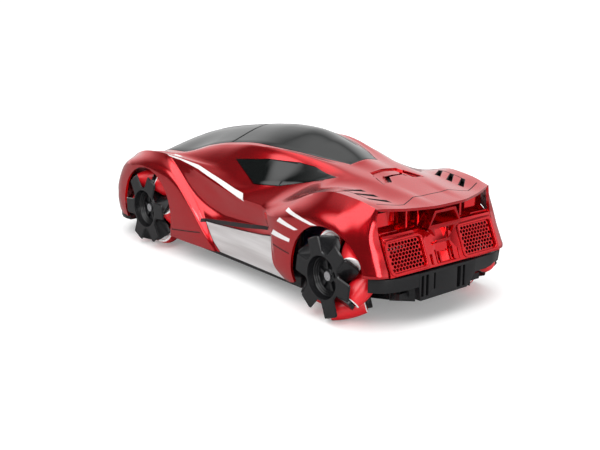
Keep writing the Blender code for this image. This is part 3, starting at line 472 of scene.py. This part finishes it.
def panel(name, ts, vs, wall, open_at=None):
    """A grid is laid on the skin, faces in openings go, and the rest is thickened inwards."""
    nt, nv = len(ts) - 1, len(vs) - 1
    obj = add(name, bpy.ops.mesh.primitive_grid_add, x_subdivisions=nt, y_subdivisions=nv, size=2)
    ts, vs = np.array(ts), np.array(vs)
    if open_at:
        edit(obj)
        mid_t, mid_v = (ts[1:] + ts[:-1]) / 2, np.abs(vs[1:] + vs[:-1]) / 2

        def gone(face):
            spot = face.calc_center_median()
            return open_at(mid_t[int((spot.x + 1) / 2 * nt)], mid_v[int((spot.y + 1) / 2 * nv)])

        pick("FACE", gone)
        bpy.ops.mesh.delete(type="FACE")
        clear()
    mesh = obj.data
    flat = np.empty(len(mesh.vertices) * 3)
    mesh.vertices.foreach_get("co", flat)
    flat = flat.reshape(-1, 3)
    it = np.rint((flat[:, 0] + 1) / 2 * nt).astype(int)
    iv = np.rint((flat[:, 1] + 1) / 2 * nv).astype(int)
    mesh.vertices.foreach_set("co", (skin(ts, vs)[iv, it] * MM).ravel())
    corner = np.empty(len(mesh.loops), dtype=np.int32)
    mesh.loops.foreach_get("vertex_index", corner)
    spots = np.stack([ts[it[corner]] / 4, np.abs(vs[iv[corner]]) / 9], 1)
    mesh.uv_layers[0].data.foreach_set("uv", spots.astype(np.float32).ravel())
    mesh.flip_normals()
    mesh.update()
    mod = obj.modifiers.new("wall", "SOLIDIFY")
    mod.thickness = wall * MM
    mod.offset = -1
    return apply(obj)


# Finishes of the car
RED = (0.66, 0.003, 0.010)
ROLLER_RED = (0.72, 0.006, 0.014)
WHITE = (0.78, 0.76, 0.76)
DARK = (0.012, 0.008, 0.009)

# Stripes and the painted shadow band in the gap over the sill as (x, z) points on the flank
SHOULDER_STRIPE = (
    [(62.1, 59.2), (51.1, 58.9), (31.5, 57.6), (11, 54.4), (-8.1, 51.1), (-15.8, 50)],
    [(58.4, 58.5), (48, 58), (28.7, 55.7), (8.5, 52), (-9.1, 48.3), (-19.3, 46.2)],
)
REAR_STRIPES = [
    [(-63.7, 52.7), (-92, 49.5), (-86.5, 48.6), (-62.5, 50.8)],
    [(-59, 46.6), (-76.4, 43.9), (-72.9, 42.8), (-56.4, 44)],
    [(-52.7, 38.5), (-69.5, 37.4), (-68.8, 35.4), (-50.4, 35.4)],
]
DOOR_GAP_SHADOW = (
    [(19.5, 28.6), (-5.3, 31.4), (-24, 33.9), (-42.9, 37)],
    [(18.5, 26.7), (-7.1, 29.3), (-25.8, 32), (-42.3, 34.9)],
)
# How far round each louvre slit the paint is darkened, as painted shade on the slit's walls and edges
LOUVRE_SHADE_RIM = 0.45


def louvres(rim=0.0):
    """Plan outlines of the three slits on the left shoulder."""
    slits = []
    for k in range(3):
        x0, y0 = -90 - 9.2 * k, 35.5 - 0.7 * k
        x1, y1 = -96 - 9.2 * k, 27 - 0.5 * k
        slits.append([(x0 + rim, y0 + rim), (x0 - 2.2 - rim, y0 + rim), (x1 - 3.6 - rim, y1 - rim),
                      (x1 + rim, y1 - rim)])
    return slits


def paint_finish():
    """Candy red with white stripes and dark seams, painted shade on the louvre slits' edges, and a painted shadow
    band in the gap over each sill.
    """
    paint = Finish("candy red paint", RED, 0.2, 0.9, Coat_Roughness=0.03, Coat_IOR=1.65)
    x, y, z = paint.axes()
    y = abs(y)
    flank = y.over(40, 0.5)
    stripe = paint.ribbon(x, z, *SHOULDER_STRIPE)
    for wedge in REAR_STRIPES:
        stripe = stripe.most(paint.inside(x, z, wedge))
    stripe = stripe * flank
    seam = paint.track(x, y, [(-119.9, 0), (-119.9, 12.7), (-124, 23), (-118, 36)], 0.7)
    seam = seam.most(paint.track(x, y, [(-89, 35.8), (-110, 34.2)], 0.6)) * z.over(58, 0.5)
    low = paint.track(x, z, [(46.5, 16.6), (31.1, 18.8), (17.2, 20.9)], 0.8)
    low = low.most(paint.track(x, z, [(-52.3, 30.4), (-68.7, 29)], 0.8)) * flank
    # Dark seams and lines, and the painted shadow in the gap between door and sill
    dark = seam.most(low).most(paint.ribbon(x, z, *DOOR_GAP_SHADOW) * flank)
    # Painted shade on the walls and edges of the louvre slits
    for slit in louvres(LOUVRE_SHADE_RIM):
        dark = dark.most(paint.inside(x, y, slit) * z.over(55, 0.5))
    paint.feed("Base Color", paint.mix(dark, paint.mix(stripe, RED, WHITE), DARK))
    paint.feed("Metallic", 0.9 * (1 - stripe.most(dark)))
    flake = paint.noise(2600, 2)
    paint.feed("Roughness", 0.16 + 0.08 * flake + 0.6 * dark)
    paint.feed("Coat Weight", 0.8 * (1 - dark))
    return paint


def roller_finish():
    """Soft red barrels with white rings on their ends, told apart by the UV map."""
    rubber = Finish("red roller rubber", ROLLER_RED, 0.36, Coat_Weight=0.25, Coat_Roughness=0.1)
    end, _, _ = rubber.axes("UV")
    rubber.feed("Base Color", rubber.mix(end.over(0.5, 0.02), ROLLER_RED, (0.84, 0.82, 0.82)))
    return rubber


def sill_finish():
    """Silver paint with long faint streaks."""
    silver = Finish("silver sill paint", (0.62, 0.59, 0.59), 0.34, 0.35)
    streak = silver.noise(60, 3, (0.25, 1, 4))
    silver.feed("Base Color", silver.mix(streak.over(0.5, 0.6), (0.46, 0.43, 0.43), (0.78, 0.76, 0.76)))
    return silver


def plastic_finish(name, colour, rough, grain, shine=0.5):
    plastic = Finish(name, colour, rough, Specular_IOR_Level=shine)
    plastic.bump(plastic.noise(900, 2), grain, 0.0001)
    return plastic


def polished_finish(name, colour, rough, metal, scale, **sockets):
    """A clean gloss with a faint drift in its roughness."""
    polish = Finish(name, colour, rough, metal, **sockets)
    polish.feed("Roughness", rough * (0.8 + 0.4 * polish.noise(scale, 3)))
    return polish


PAINT = paint_finish()
PLATING = polished_finish("red plated tail", (0.70, 0.004, 0.010), 0.1, 0.9, 90, Coat_Weight=0.6)
GLASS = polished_finish("smoked glass", (0.004, 0.005, 0.005), 0.05, 0.0, 30, Specular_IOR_Level=0.6)
SILVER = sill_finish()
BLACK = plastic_finish("black hub plastic", (0.008, 0.008, 0.009), 0.24, 0.05, 0.45)
GREY = plastic_finish("dark bumper plastic", (0.010, 0.010, 0.011), 0.28, 0.08, 0.4)
RUBBER = roller_finish()
LENS = polished_finish("clear lamp lens", (0.75, 0.77, 0.80), 0.1, 0.0, 120, Coat_Weight=0.5)
LAMP = polished_finish("red tail lens", (0.85, 0.004, 0.008), 0.25, 0.0, 120, Coat_Weight=0.3)
STEEL = polished_finish("bright steel", (0.62, 0.62, 0.64), 0.28, 1.0, 400)
NYLON = plastic_finish("white nylon", (0.80, 0.79, 0.74), 0.5, 0.03)
WRAP = plastic_finish("blue battery wrap", (0.05, 0.10, 0.30), 0.4, 0.03)
BOARD = plastic_finish("green board", (0.02, 0.14, 0.05), 0.5, 0.03)
SLOTS = {"red_paint": PAINT, "red_plating": PLATING, "smoked_glass": GLASS, "silver_paint": SILVER,
         "black_plastic": BLACK, "red_rubber": RUBBER, "clear_lens": LENS, "steel": STEEL, "nylon": NYLON,
         "battery_wrap": WRAP, "board_green": BOARD}
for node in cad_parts.values():
    for i, material in enumerate(node.data.materials):
        slot = material.name.split(".")[0] if material else ""
        if slot in SLOTS:
            node.data.materials[i] = SLOTS[slot].material

# Body shell: the skin with its openings, then arches, windows, louvres and intake are cut
CANOPY_T, SEAM_T = (0.26, 2.22), 0.87
LAMP_T, LAMP_V = (0.10, 0.26), (3.0, 4.0)
SILL_T, SILL_V = (1.07, 1.93), (7.0, 9.0)
T_STOPS = [0, *LAMP_T, SEAM_T, 1, *SILL_T, 2, CANOPY_T[1], 3, 4]
T_COUNTS = [10, 12, 50, 14, 7, 40, 5, 14, 46, 14]
SKIN_T = steps(T_STOPS, T_COUNTS)
HALF_V = steps(list(range(10)), [6] * 9)
SHELL_WALL, TRIM_WALL = 1.5, 1.4
CREASE_ANGLE = 55
ARCHES = {"front_arch": (74.0, WHEEL_R + 2.8), "rear_arch": (-97.4, WHEEL_R + 3.3)}
ARCH_Z, ARCH_Y, ARCH_SIDES = WHEEL_R - 1.3, (39.3, 60), 96
# How far the cutters of windows reach in |Y|, and those of louvres and intake in Z
WINDOW_Y, LOUVRE_Z, INTAKE_Z = (24, 55), (55, 75), (60, 75)
INTAKE = [(-89.6, 6), (-91.2, 6.6), (-98.9, 10), (-99.4, 8.2), (-93.2, 4.4)]
INTAKE_ARM = [(-86.8, 11), (-88.8, 9.7), (-99.6, 13.2), (-99.8, 14.6)]
INTAKE_STEP = [(-82.8, 9.4), (-99.2, 13), (-98.9, 10), (-91.2, 6.6), (-89.6, 6)]


def within(value, pair):
    return pair[0] < value < pair[1]


def shell_open(t, v):
    canopy = v < 1 and within(t, CANOPY_T)
    lamp = within(t, LAMP_T) and within(v, LAMP_V)
    sill = within(t, SILL_T) and within(v, SILL_V)
    return canopy or lamp or sill


WINDOW = [(4, 65), (-19.3, 55.2), (-38.6, 57.2), (-57.9, 62.3), (-73.6, 67), (-62.2, 69.2), (-44.2, 70.3),
          (-23.1, 69.3)]
MID = [sum(spots) / len(WINDOW) for spots in zip(*WINDOW)]
PANE = [(MID[0] + (x - MID[0]) * 0.985, MID[1] + (z - MID[1]) * 0.95) for x, z in WINDOW]


def upright(name, outline, s, low, high):
    """A plate of (x, z) corners that stands across the car from |Y| low to high."""
    tool = place(plate(name, outline, low, high), SIDEWAYS)
    if s < 0:
        place(tool, Matrix.Diagonal((1, -1, 1, 1)))
    return outward(tool)


def ring(radius, n, x, z):
    turns = [2 * math.pi * i / n for i in range(n)]
    return [(x + radius * math.cos(a), z + radius * math.sin(a)) for a in turns]


def whole(half):
    """An outline over both sides from its left half."""
    return half + [(x, -y) for x, y in half[::-1]]


def shell_cutters():
    tools = []
    for s in SIDES.values():
        for name, (x, radius) in ARCHES.items():
            tools.append(upright(name, ring(radius, ARCH_SIDES, x, ARCH_Z), s, *ARCH_Y))
        tools.append(upright("window", WINDOW, s, *WINDOW_Y))
        for slit in louvres():
            tools.append(plate("louvre", mirrored(slit, s), *LOUVRE_Z))
        tools.append(plate("arm", mirrored(INTAKE_ARM, s), *INTAKE_Z))
    tools.append(plate("intake", whole(INTAKE), *INTAKE_Z))
    return group(*tools)


def deck_patch(name, row, rear, front, reach, wall, lift):
    """A piece of the skin between two places along X on one row, moved up or down."""
    ts = [t for t in SKIN_T if rear < skin([t], [row])[0][0][0] < front]
    patch = panel(name, ts, both([v for v in HALF_V if v < reach]), wall)
    return place(patch, Matrix.Translation((0, 0, lift * MM)))


def intake_step():
    """The underside of a lifted skin patch cuts a shallow step round the deck intake."""
    step = deck_patch("step", row=0, rear=-106, front=-76, reach=2.6, wall=3, lift=2.1)
    return combine(step, plate("outline", whole(INTAKE_STEP), 55, 80), "INTERSECT")


body = panel("body_panels", SKIN_T, both(HALF_V), SHELL_WALL, shell_open)
combine(body, intake_step())
combine(body, shell_cutters())
eased(body, 0.28, 2, CREASE_ANGLE)
done(body, PAINT, "car", "red_paint", "body_shell")
# A black sheet under the louvres and intake stands in for the shade inside the body, seen through the slits
shade_sheet = deck_patch("vent_shade_sheet", row=3, rear=-117, front=-85, reach=4.6, wall=0.8, lift=-2.8)
done(eased(shade_sheet, 0.1), BLACK, "car", "black_plastic")


def inner(pair, gap):
    return [pair[0] + gap] + [t for t in SKIN_T if pair[0] < t < pair[1]] + [pair[1] - gap]


def across(limit, gap):
    return both([v for v in HALF_V if v < limit - gap] + [limit - gap])


for name, pair in (("windscreen", (CANOPY_T[0], SEAM_T)), ("roof_glass", (SEAM_T, CANOPY_T[1]))):
    glass = panel("fine_" + name, inner(pair, 0.005), across(1, 0.02), TRIM_WALL)
    done(eased(glass, 0.25, 2, CREASE_ANGLE), GLASS, "car", "smoked_glass", name)
for side, s in SIDES.items():
    lamp = panel(side + "_lamp", steps([LAMP_T[0] + 0.018, LAMP_T[1] - 0.018], [10]),
                 steps(sorted((s * 3.17, s * 3.83)), [6]), TRIM_WALL)
    done(eased(lamp, 0.2, 2, CREASE_ANGLE), LENS, "car", "clear_lens", side + "_headlight")
    sill = panel(side + "_rocker", inner(SILL_T, 0.006), steps(sorted((s * 7.05, s * 8.98)), [12]), TRIM_WALL)
    done(eased(sill, 0.25, 2, CREASE_ANGLE), SILVER, "car", "silver_paint", side + "_sill")
    pane = panel(side + "_pane", [t for t in SKIN_T if 0.6 < t < 2.6], steps(sorted((s * 1.6, s * 4)), [14]),
                 TRIM_WALL)
    combine(pane, upright("pane", PANE, s, *WINDOW_Y), "INTERSECT")
    done(eased(pane, 0.2, 2, CREASE_ANGLE), GLASS, "car", "smoked_glass", side + "_side_window")


# Tail and nose: CAD panel and splitter are copied, merged and eased; rear bumper and grilles are made here
LEAN = math.radians(24)
UP = Vector((math.sin(LEAN), 0, math.cos(LEAN)))
OUT = Vector((-math.cos(LEAN), 0, math.sin(LEAN)))
TAIL = axes_matrix((0, 1, 0), UP, OUT, (-133.4, 0, 29.3))
EDGE_ANGLE = 30
# Between the grilles, as (y, rise) on the leaning panel: pockets, rails (y, low, high, front), bar and lamp
POCKET_DEPTH, TAIL_BACK = 1.4, -1.8
POCKETS = [
    [(-6.6, 1.2), (6.6, 1.2), (5.4, 11.6), (-5.4, 11.6)],
    [(-5.4, 12.8), (5.4, 12.8), (7, 18.6), (-7, 18.6)],
]
RAILS = [(9.3, 1.2, 6.8, 0.6), (6, 1.5, 8.6, 0.3), (3.7, 1.5, 7.4, 0.1)]
RAIL_HALF = 0.4
CROSS_BAR = [(-5.8, 11.5), (5.8, 11.5), (5.5, 12.9), (-5.5, 12.9)]
TAIL_LENS = [(-2.9, 1.6), (2.9, 1.6), (2.6, 7), (-2.6, 7)]
# Part of the cheeks under the spoiler that is cut back, in plan
CHEEK, CHEEK_Z = [(-124, 26), (-118.5, 26), (-118.5, 39.2), (-124, 39.2)], (49.6, 59)
# Grilles on the leaning panel: a rounded opening, a lip round it and rows of cells, and the ledge above in (x, z)
GRILLE_Y, GRILLE_V, GRILLE_ROUND, LIP = (13.9, 37.1), (1.9, 17.3), 1.8, 1.1
CELL_ROWS, CELLS, CELL_PITCH, CELL_RISE, CELL_R, CELL_SQUASH = 8, 10, 2.2, 1.82, 1.04, 0.92
THROUGH = (-4, 4)
LEDGE = [(-125.2, 45.4), (-126.7, 46), (-126.4, 47), (-119.6, 51.4), (-118.4, 51.4), (-118.4, 49.4)]
LEDGE_Y = (13.2, 38.4)
# Rear bumper: block and right-hand taper in (y, z), wings and skirts in plan, slots as (y, half width, foot)
BLOCK = [(20.5, 28.1), (-20, 28.1), (-20, 21), (-14, 14.2), (19.6, 13.4), (20.5, 21)]
TAPER = [(-24, 20), (-49, 20), (-49, 25.2)]
BLOCK_X, TAPER_X = (-134.4, -129.1), (-140, -118)
WING = [(-134.2, 18), (-133.5, 33), (-131.3, 40.5), (-128.5, 43.6), (-124.6, 46.8), (-123.4, 45.4),
        (-127.3, 42), (-129.2, 39), (-131, 32), (-131.8, 18)]
SKIRT = [(-131, 20), (-128.9, 18.6), (-120.4, 27.4), (-121.8, 29.4)]
WING_Z, SKIRT_Z = (21, 28.1), (12.4, 22)
BUMPER_SLOTS = [(18.3, 0.9, 15.4), (15, 0.9, 15.4), (9.8, 0.6, 18), (-7.7, 1.3, 15.4), (-11.3, 0.8, 15.4)]
SLOT_X, SLOT_TOP = (-140, -131.6), 26.6
BUMPER_HOLE = [(-4, 1.1), (9, 1.1)]


def eased_node(node, name, finish, slot, width, tool=None):
    obj = twin(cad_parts[node], name)
    edit(obj)
    bpy.ops.mesh.remove_doubles(threshold=0.00001)
    bpy.ops.mesh.dissolve_limited(angle_limit=math.radians(0.8))
    clear()
    if tool:
        combine(obj, tool)
    eased(obj, width, 2, EDGE_ANGLE)
    return done(obj, finish, "car", slot, node)


def tail_rails():
    """Upright rails and a cross bar round the lamp between the grilles."""
    pieces = [eased(plate("tail_rails", CROSS_BAR, TAIL_BACK, 0.6), 0.3)]
    for y, low, high, front in RAILS:
        for s in SIDES.values():
            left, right = s * y - RAIL_HALF, s * y + RAIL_HALF
            rail = [(left, low), (right, low), (right, high), (left, high)]
            pieces.append(eased(plate("rail", rail, TAIL_BACK, front), 0.2))
    return outward(place(group(*pieces), TAIL))


def tail_lamp():
    lamp = eased(plate("tail_lamp", TAIL_LENS, TAIL_BACK, -0.3), 0.4)
    return outward(place(lamp, TAIL))


def tail_cutters():
    """Two pockets between the grilles and the cut-back cheeks above them."""
    tools = [outward(place(plate("pocket", pocket, -POCKET_DEPTH, 9), TAIL)) for pocket in POCKETS]
    tools += [plate("cheek", mirrored(CHEEK, s), *CHEEK_Z) for s in SIDES.values()]
    return group(*tools)


def rear_bumper():
    """A slotted block between two thin wings that wrap the rear corners, over two skirts."""
    bumper = outward(place(plate("tail_bumper", BLOCK, *BLOCK_X), REARWARD))
    for s in SIDES.values():
        combine(bumper, plate("wing", mirrored(WING, s), *WING_Z), "UNION")
    combine(bumper, outward(place(plate("taper", TAPER, *TAPER_X), REARWARD)))
    rear, front = SLOT_X
    for y, half, foot in BUMPER_SLOTS:
        slot = [(rear, y - half), (front, y - half), (front, y + half), (rear, y + half)]
        combine(bumper, plate("slot", slot, foot, SLOT_TOP))
    for s in SIDES.values():
        combine(bumper, plate("skirt", mirrored(SKIRT, s), *SKIRT_Z), "UNION")
    drill = axes_matrix((0.74, 0.67, 0), (0, 0, 1), (0.67, -0.74, 0), (-128.9, 27.6, 18))
    combine(bumper, outward(place(turned("hole", BUMPER_HOLE, 24), drill)))
    return eased(bumper, 0.5, 3, EDGE_ANGLE)


eased_node("rear_panel", "tail_panel", PLATING, "red_plating", 0.35, tail_cutters())
done(tail_rails(), PLATING, "car", "red_plating")
done(tail_lamp(), LAMP, "car", "red_plating")
done(rear_bumper(), GREY, "car", "black_plastic", "rear_bumper")
eased_node("front_bumper", "nose_splitter", GREY, "black_plastic", 0.4)


def rounded_box(y, v, r, n=6):
    left, right, low, high = y[1] - r, y[0] + r, v[0] + r, v[1] - r
    points = []
    for k, (cy, cv) in enumerate(((left, high), (right, high), (right, low), (left, low))):
        for i in range(n):
            a = math.pi / 2 * (k + i / (n - 1))
            points.append((cy + r * math.cos(a), cv + r * math.sin(a)))
    return points


def honeycomb(side, s):
    """A rounded plate with rows of six-sided holes, set back in its lip, and the ledge above it."""
    y, v = sorted((s * GRILLE_Y[0], s * GRILLE_Y[1])), GRILLE_V
    opening = rounded_box(y, v, GRILLE_ROUND)
    mesh = plate(side + "_honeycomb", opening, TAIL_BACK, -0.6)
    corners = [math.pi / 6 + math.pi / 3 * m for m in range(6)]
    holes = []
    for j in range(CELL_ROWS):
        for i in range(CELLS - j % 2):
            cy = (y[0] + y[1]) / 2 + CELL_PITCH * (i - (CELLS - 1) / 2 + 0.5 * (j % 2))
            cv = (v[0] + v[1]) / 2 + CELL_RISE * (j - (CELL_ROWS - 1) / 2)
            cell = [(cy + CELL_R * math.cos(a), cv + CELL_SQUASH * CELL_R * math.sin(a)) for a in corners]
            holes.append(plate("hole", cell, *THROUGH))
    combine(mesh, group(*holes))
    place(mesh, TAIL)
    done(smooth(mesh, 20), PLATING, "car", "red_plating", side + "_tail_grille")
    rim = rounded_box((y[0] - LIP, y[1] + LIP), (v[0] - LIP, v[1] + LIP), GRILLE_ROUND + LIP)
    lip = plate(side + "_grille_lip", rim, -0.5, 0.8)
    combine(lip, plate("gap", opening, *THROUGH))
    eased(lip, 0.5, 3, EDGE_ANGLE)
    done(place(lip, TAIL), PLATING, "car", "red_plating")
    ledge = upright(side + "_ledge", LEDGE, s, *LEDGE_Y)
    done(eased(ledge, 0.5, 3, EDGE_ANGLE), PLATING, "car", "red_plating")


for side, s in SIDES.items():
    honeycomb(side, s)


# Wheels: a claw hub with a ringed dish, six barrel rollers and a cross-slotted screw
def roller_radius(d):
    reach = math.sqrt(AXIS_R ** 2 + d * d / 2)
    return (WHEEL_R - reach) / math.sqrt(1 - (d / (2 * reach)) ** 2)


def roller_frames(lean):
    """Middle, axis, radial and crosswise directions of each roller on a wheel whose axle is +Y."""
    for k in range(ROLLERS):
        a = -math.pi / 2 - PHASE + 2 * math.pi * k / ROLLERS
        radial = Vector((math.cos(a), 0, math.sin(a)))
        axis = (Vector((0, 1, 0)) + lean * Vector((-math.sin(a), 0, math.cos(a)))).normalized()
        yield k, radial * AXIS_R, axis, radial, axis.cross(radial)


def make_barrel():
    """One roller along Z: a barrel with a small round-over, white end rings and a bore."""
    d = ROLLER_HALF
    bore = PIN_R + 0.3
    outer = [(q, roller_radius(q)) for q in [d * (i / 7 - 1) for i in range(15)]]
    outer[0] = (-d, outer[0][1] - 0.35)
    outer[-1] = (d, outer[-1][1] - 0.35)
    outer.insert(1, (0.4 - d, roller_radius(d - 0.4)))
    outer.insert(-1, (d - 0.4, roller_radius(d - 0.4)))
    lip = outer[0][1] - 0.9
    rings = [(-d + 0.5, bore), (-d + 0.5, lip - 0.2), (-d, lip)] + outer + [(d, lip), (d - 0.5, lip - 0.2)]
    barrel = turned("barrel", rings + [(d - 0.5, bore)], 28, True)
    marks = np.zeros((len(barrel.data.loops), 2), np.float32)
    for face in barrel.data.polygons:
        if abs(face.normal.z) > 0.5 and abs(face.center.z) > (d - 0.7) * MM:
            marks[list(face.loop_indices), 0] = 1
    barrel.data.uv_layers[0].data.foreach_set("uv", marks.ravel())
    return smooth(barrel, 40)


def make_claw(end, lean):
    """A wall across one end of a roller, in (crosswise, radial, axis) of that roller."""
    low, root, side = ROLLER_HALF + 0.45, 8 - AXIS_R, end * lean
    outline = [(-2.4, root), (-4.8, -4), (-4.8, 0), (-4.3, 0.9), (-3.2, 1.5), (2.6, 3.3), (3.9, 3.4),
               (4.7, 2.7), (4.8, 1.6), (4.8, -4), (2.4, root)]
    claw = plate("claw", [(w * side, rise) for w, rise in outline], low, low + CLAW_WALL)
    return place(claw, Matrix.Diagonal((1, 1, end, 1)))


def make_lobes(lean, end):
    """Face plate with one tooth by the middle of each roller."""
    outline = []
    for k in range(ROLLERS):
        a = end * TOOTH_TURN[lean] - math.pi / 2 - PHASE + 2 * math.pi * k / ROLLERS
        for turn, r in TOOTH:
            angle = a + math.radians(turn)
            outline.append((r * math.cos(angle), r * math.sin(angle)))
    low, high = sorted((end * HUB_HALF, end * (HUB_HALF - 1.4)))
    return outward(place(eased(plate("lobes", outline, low, high), 0.6, 1), SIDEWAYS))


def make_hub(lean):
    """A drum with claws and face plates, a ringed dish with six spokes, and the pins of the rollers."""
    h, floor = HUB_HALF, HUB_HALF - DISH_DEPTH
    hub = turned("hub", [(-h, DRUM_R), (1, DRUM_R), (h - 2.4, RIM_R), (h, RIM_R)], 64)
    outward(place(hub, SIDEWAYS))
    parts = [make_lobes(lean, 1), make_lobes(lean, -1)]
    for _, mid, axis, radial, cross in roller_frames(lean):
        for end in (1, -1):
            parts.append(outward(place(make_claw(end, lean), axes_matrix(cross, radial, axis, mid))))
    for part in parts:
        combine(hub, part, "UNION")
    dish = turned("dish", [(floor, DRUM_R - 1), (h - 2, DRUM_R + 1.2), (h + 2, DRUM_R + 1.2)], 64)
    combine(hub, outward(place(dish, SIDEWAYS)))
    bore = turned("bore", [(-h - 2, BORE_R), (h + 2, BORE_R)], 24)
    combine(hub, outward(place(bore, SIDEWAYS)))
    eased(hub, 0.3, 2, 40)
    rings = turned("rings", [(floor + rise, r) for rise, r in DISH_RINGS], 64, True)
    outward(place(rings, SIDEWAYS))
    pieces = [hub, smooth(rings, 60)]
    for k in range(ROLLERS):
        a = 2 * math.pi * k / ROLLERS + 0.2
        spoke = plate("spoke", SPOKE, floor - 0.4, floor + 1.7)
        place(eased(spoke, 0.3), SIDEWAYS @ Matrix.Rotation(a, 4, "Z"))
        pieces.append(outward(spoke))
    for _, mid, axis, radial, cross in roller_frames(lean):
        reach = ROLLER_HALF + 1.7
        pin = turned("pin", [(-reach, PIN_R), (reach, PIN_R)], 16)
        pieces.append(smooth(place(pin, axes_matrix(cross, radial, axis, mid))))
    return group(*pieces)


def make_screw():
    """A domed head with a cross slot, facing +Z."""
    dome = [(-0.4, 1.0), (0, 1.0), (0, 1.9), (0.6, 1.95), (1.2, 1.7), (1.5, 1.2), (1.65, 0.6)]
    head = turned("screw", dome, 40)
    for turn in (0.35, 0.35 + math.pi / 2):
        slit = plate("slit", [(-1.2, -0.25), (1.2, -0.25), (1.2, 0.25), (-1.2, 0.25)], 0.8, 3)
        combine(head, place(slit, Matrix.Rotation(turn, 4, "Z")))
    return smooth(head, 30)


barrel, screw = make_barrel(), make_screw()
hubs = {lean: make_hub(lean) for lean in (-1, 1)}
for axle, (x, lean) in AXLES.items():
    for side, s in SIDES.items():
        tag = axle + "_" + side
        wheel = tag + "_wheel"
        seat = Matrix.Translation(Vector((x, s * WHEEL_MID, WHEEL_R)) * MM) @ Matrix.Diagonal((1, s, 1, 1))
        hub = place(twin(hubs[lean], tag + "_claw_hub"), seat)
        done(hub, BLACK, wheel, "black_plastic", tag + "_hub")
        out = Matrix.Translation((0, SCREW_OUT * MM, 0))
        head = place(twin(screw, tag + "_hub_screw"), seat @ out @ SIDEWAYS)
        done(outward(head), STEEL, wheel, "steel")
        for k, mid, axis, radial, cross in roller_frames(lean):
            roller = twin(barrel, "%s_barrel_%d" % (tag, k + 1))
            place(roller, seat @ axes_matrix(cross, radial, axis, mid))
            number = "%s_roller_%d" % (tag, k + 1)
            done(roller, RUBBER, number + "_body", "red_rubber", number)
for spare in (barrel, screw, *hubs.values()):
    bpy.data.objects.remove(spare)


# Stage: a pale floor, soft studio light and the camera of the photograph
def stage_floor():
    floor = add("floor", bpy.ops.mesh.primitive_plane_add, size=8)
    edit(floor)
    bpy.ops.mesh.subdivide(number_cuts=3)
    clear()
    pale = Finish("pale floor", (0.86, 0.86, 0.86), 0.6)
    pale.feed("Base Color", pale.mix(pale.ray("Is Glossy Ray"), (0.86, 0.86, 0.86), (0.28, 0.28, 0.28)))
    pale.feed("Emission Color", pale.mix(pale.ray("Is Camera Ray"), (0, 0, 0), (1, 1, 1)))
    pale.feed("Emission Strength", 0.22)
    floor.data.materials.append(pale.material)


def studio_world():
    """A dim room with a bright ceiling, a backdrop, a glow behind the tail and two soft boxes."""
    world = bpy.data.worlds.new("studio")
    bpy.context.scene.world = world
    world.use_nodes = True
    room = Nodes(world.node_tree, "Background")
    spot = room.place("Generated")
    rise = room.node("ShaderNodeSeparateXYZ", {}, {0: spot}, 2)

    def toward(*way):
        return room.node("ShaderNodeVectorMath", {"operation": "DOT_PRODUCT"}, {0: spot, 1: way}, "Value")

    def ramp(source, low, high, start, end):
        limits = {0: source, "From Min": low, "From Max": high, "To Min": start, "To Max": end}
        return room.node("ShaderNodeMapRange", {"interpolation_type": "SMOOTHSTEP"}, limits)

    backdrop = ramp(toward(0.783, -0.622, 0), 0.3, 0.8, 0, 0.9) * ramp(rise, 0.45, 0.85, 1, 0.5)
    tail_glow = ramp(toward(-0.76, -0.65, 0), 0.45, 0.85, 0, 0.9) * ramp(rise, 0.3, 0.6, 1, 0.2)
    left_box = ramp(toward(0.35, 0.8, 0.49), 0.92, 0.975, 0, 2.2)
    rear_box = ramp(toward(-0.89, 0.31, 0.33), 0.93, 0.975, 0, 3.4)
    glow = ramp(rise, 0.58, 0.9, 0.06, 1.35)
    for part in (backdrop, tail_glow, left_box, rear_box):
        glow = glow.most(part)
    room.feed("Strength", room.node("ShaderNodeMix", {}, {0: room.ray("Is Camera Ray"), 2: glow, 3: 1.0}))
    room.feed("Color", (1, 1, 1, 1))


def soft_light(name, at, toward, size, power):
    lamp = bpy.data.lights.new(name, "AREA")
    lamp.shape = "DISK"
    lamp.size = size
    lamp.energy = power
    obj = bpy.data.objects.new(name, lamp)
    obj.location = at
    obj.rotation_euler = (Vector(toward) - Vector(at)).to_track_quat("-Z", "Y").to_euler()
    bpy.context.scene.collection.objects.link(obj)


stage_floor()
studio_world()
soft_light("overhead", (-0.2, 0.3, 1.3), (0, 0, 0), 1.8, 9)
soft_light("side", (-0.45, 1.05, 0.95), (0, 0, 0.03), 0.7, 5)

pitch, heading = math.radians(15.869), math.radians(38.477)
forward = Vector((math.cos(heading) * math.cos(pitch), -math.sin(heading) * math.cos(pitch), -math.sin(pitch)))
lens = bpy.data.cameras.new("photo camera")
lens.lens = 70.18
lens.sensor_width = 36
lens.sensor_fit = "HORIZONTAL"
lens.clip_start = 0.01
camera = bpy.data.objects.new("photo camera", lens)
camera.location = Vector((-533.6, 414.7, 212.24)) * MM
camera.rotation_euler = forward.to_track_quat("-Z", "Y").to_euler()
bpy.context.scene.collection.objects.link(camera)
bpy.context.scene.camera = camera
bpy.context.scene.view_settings.view_transform = "Standard"

clear()
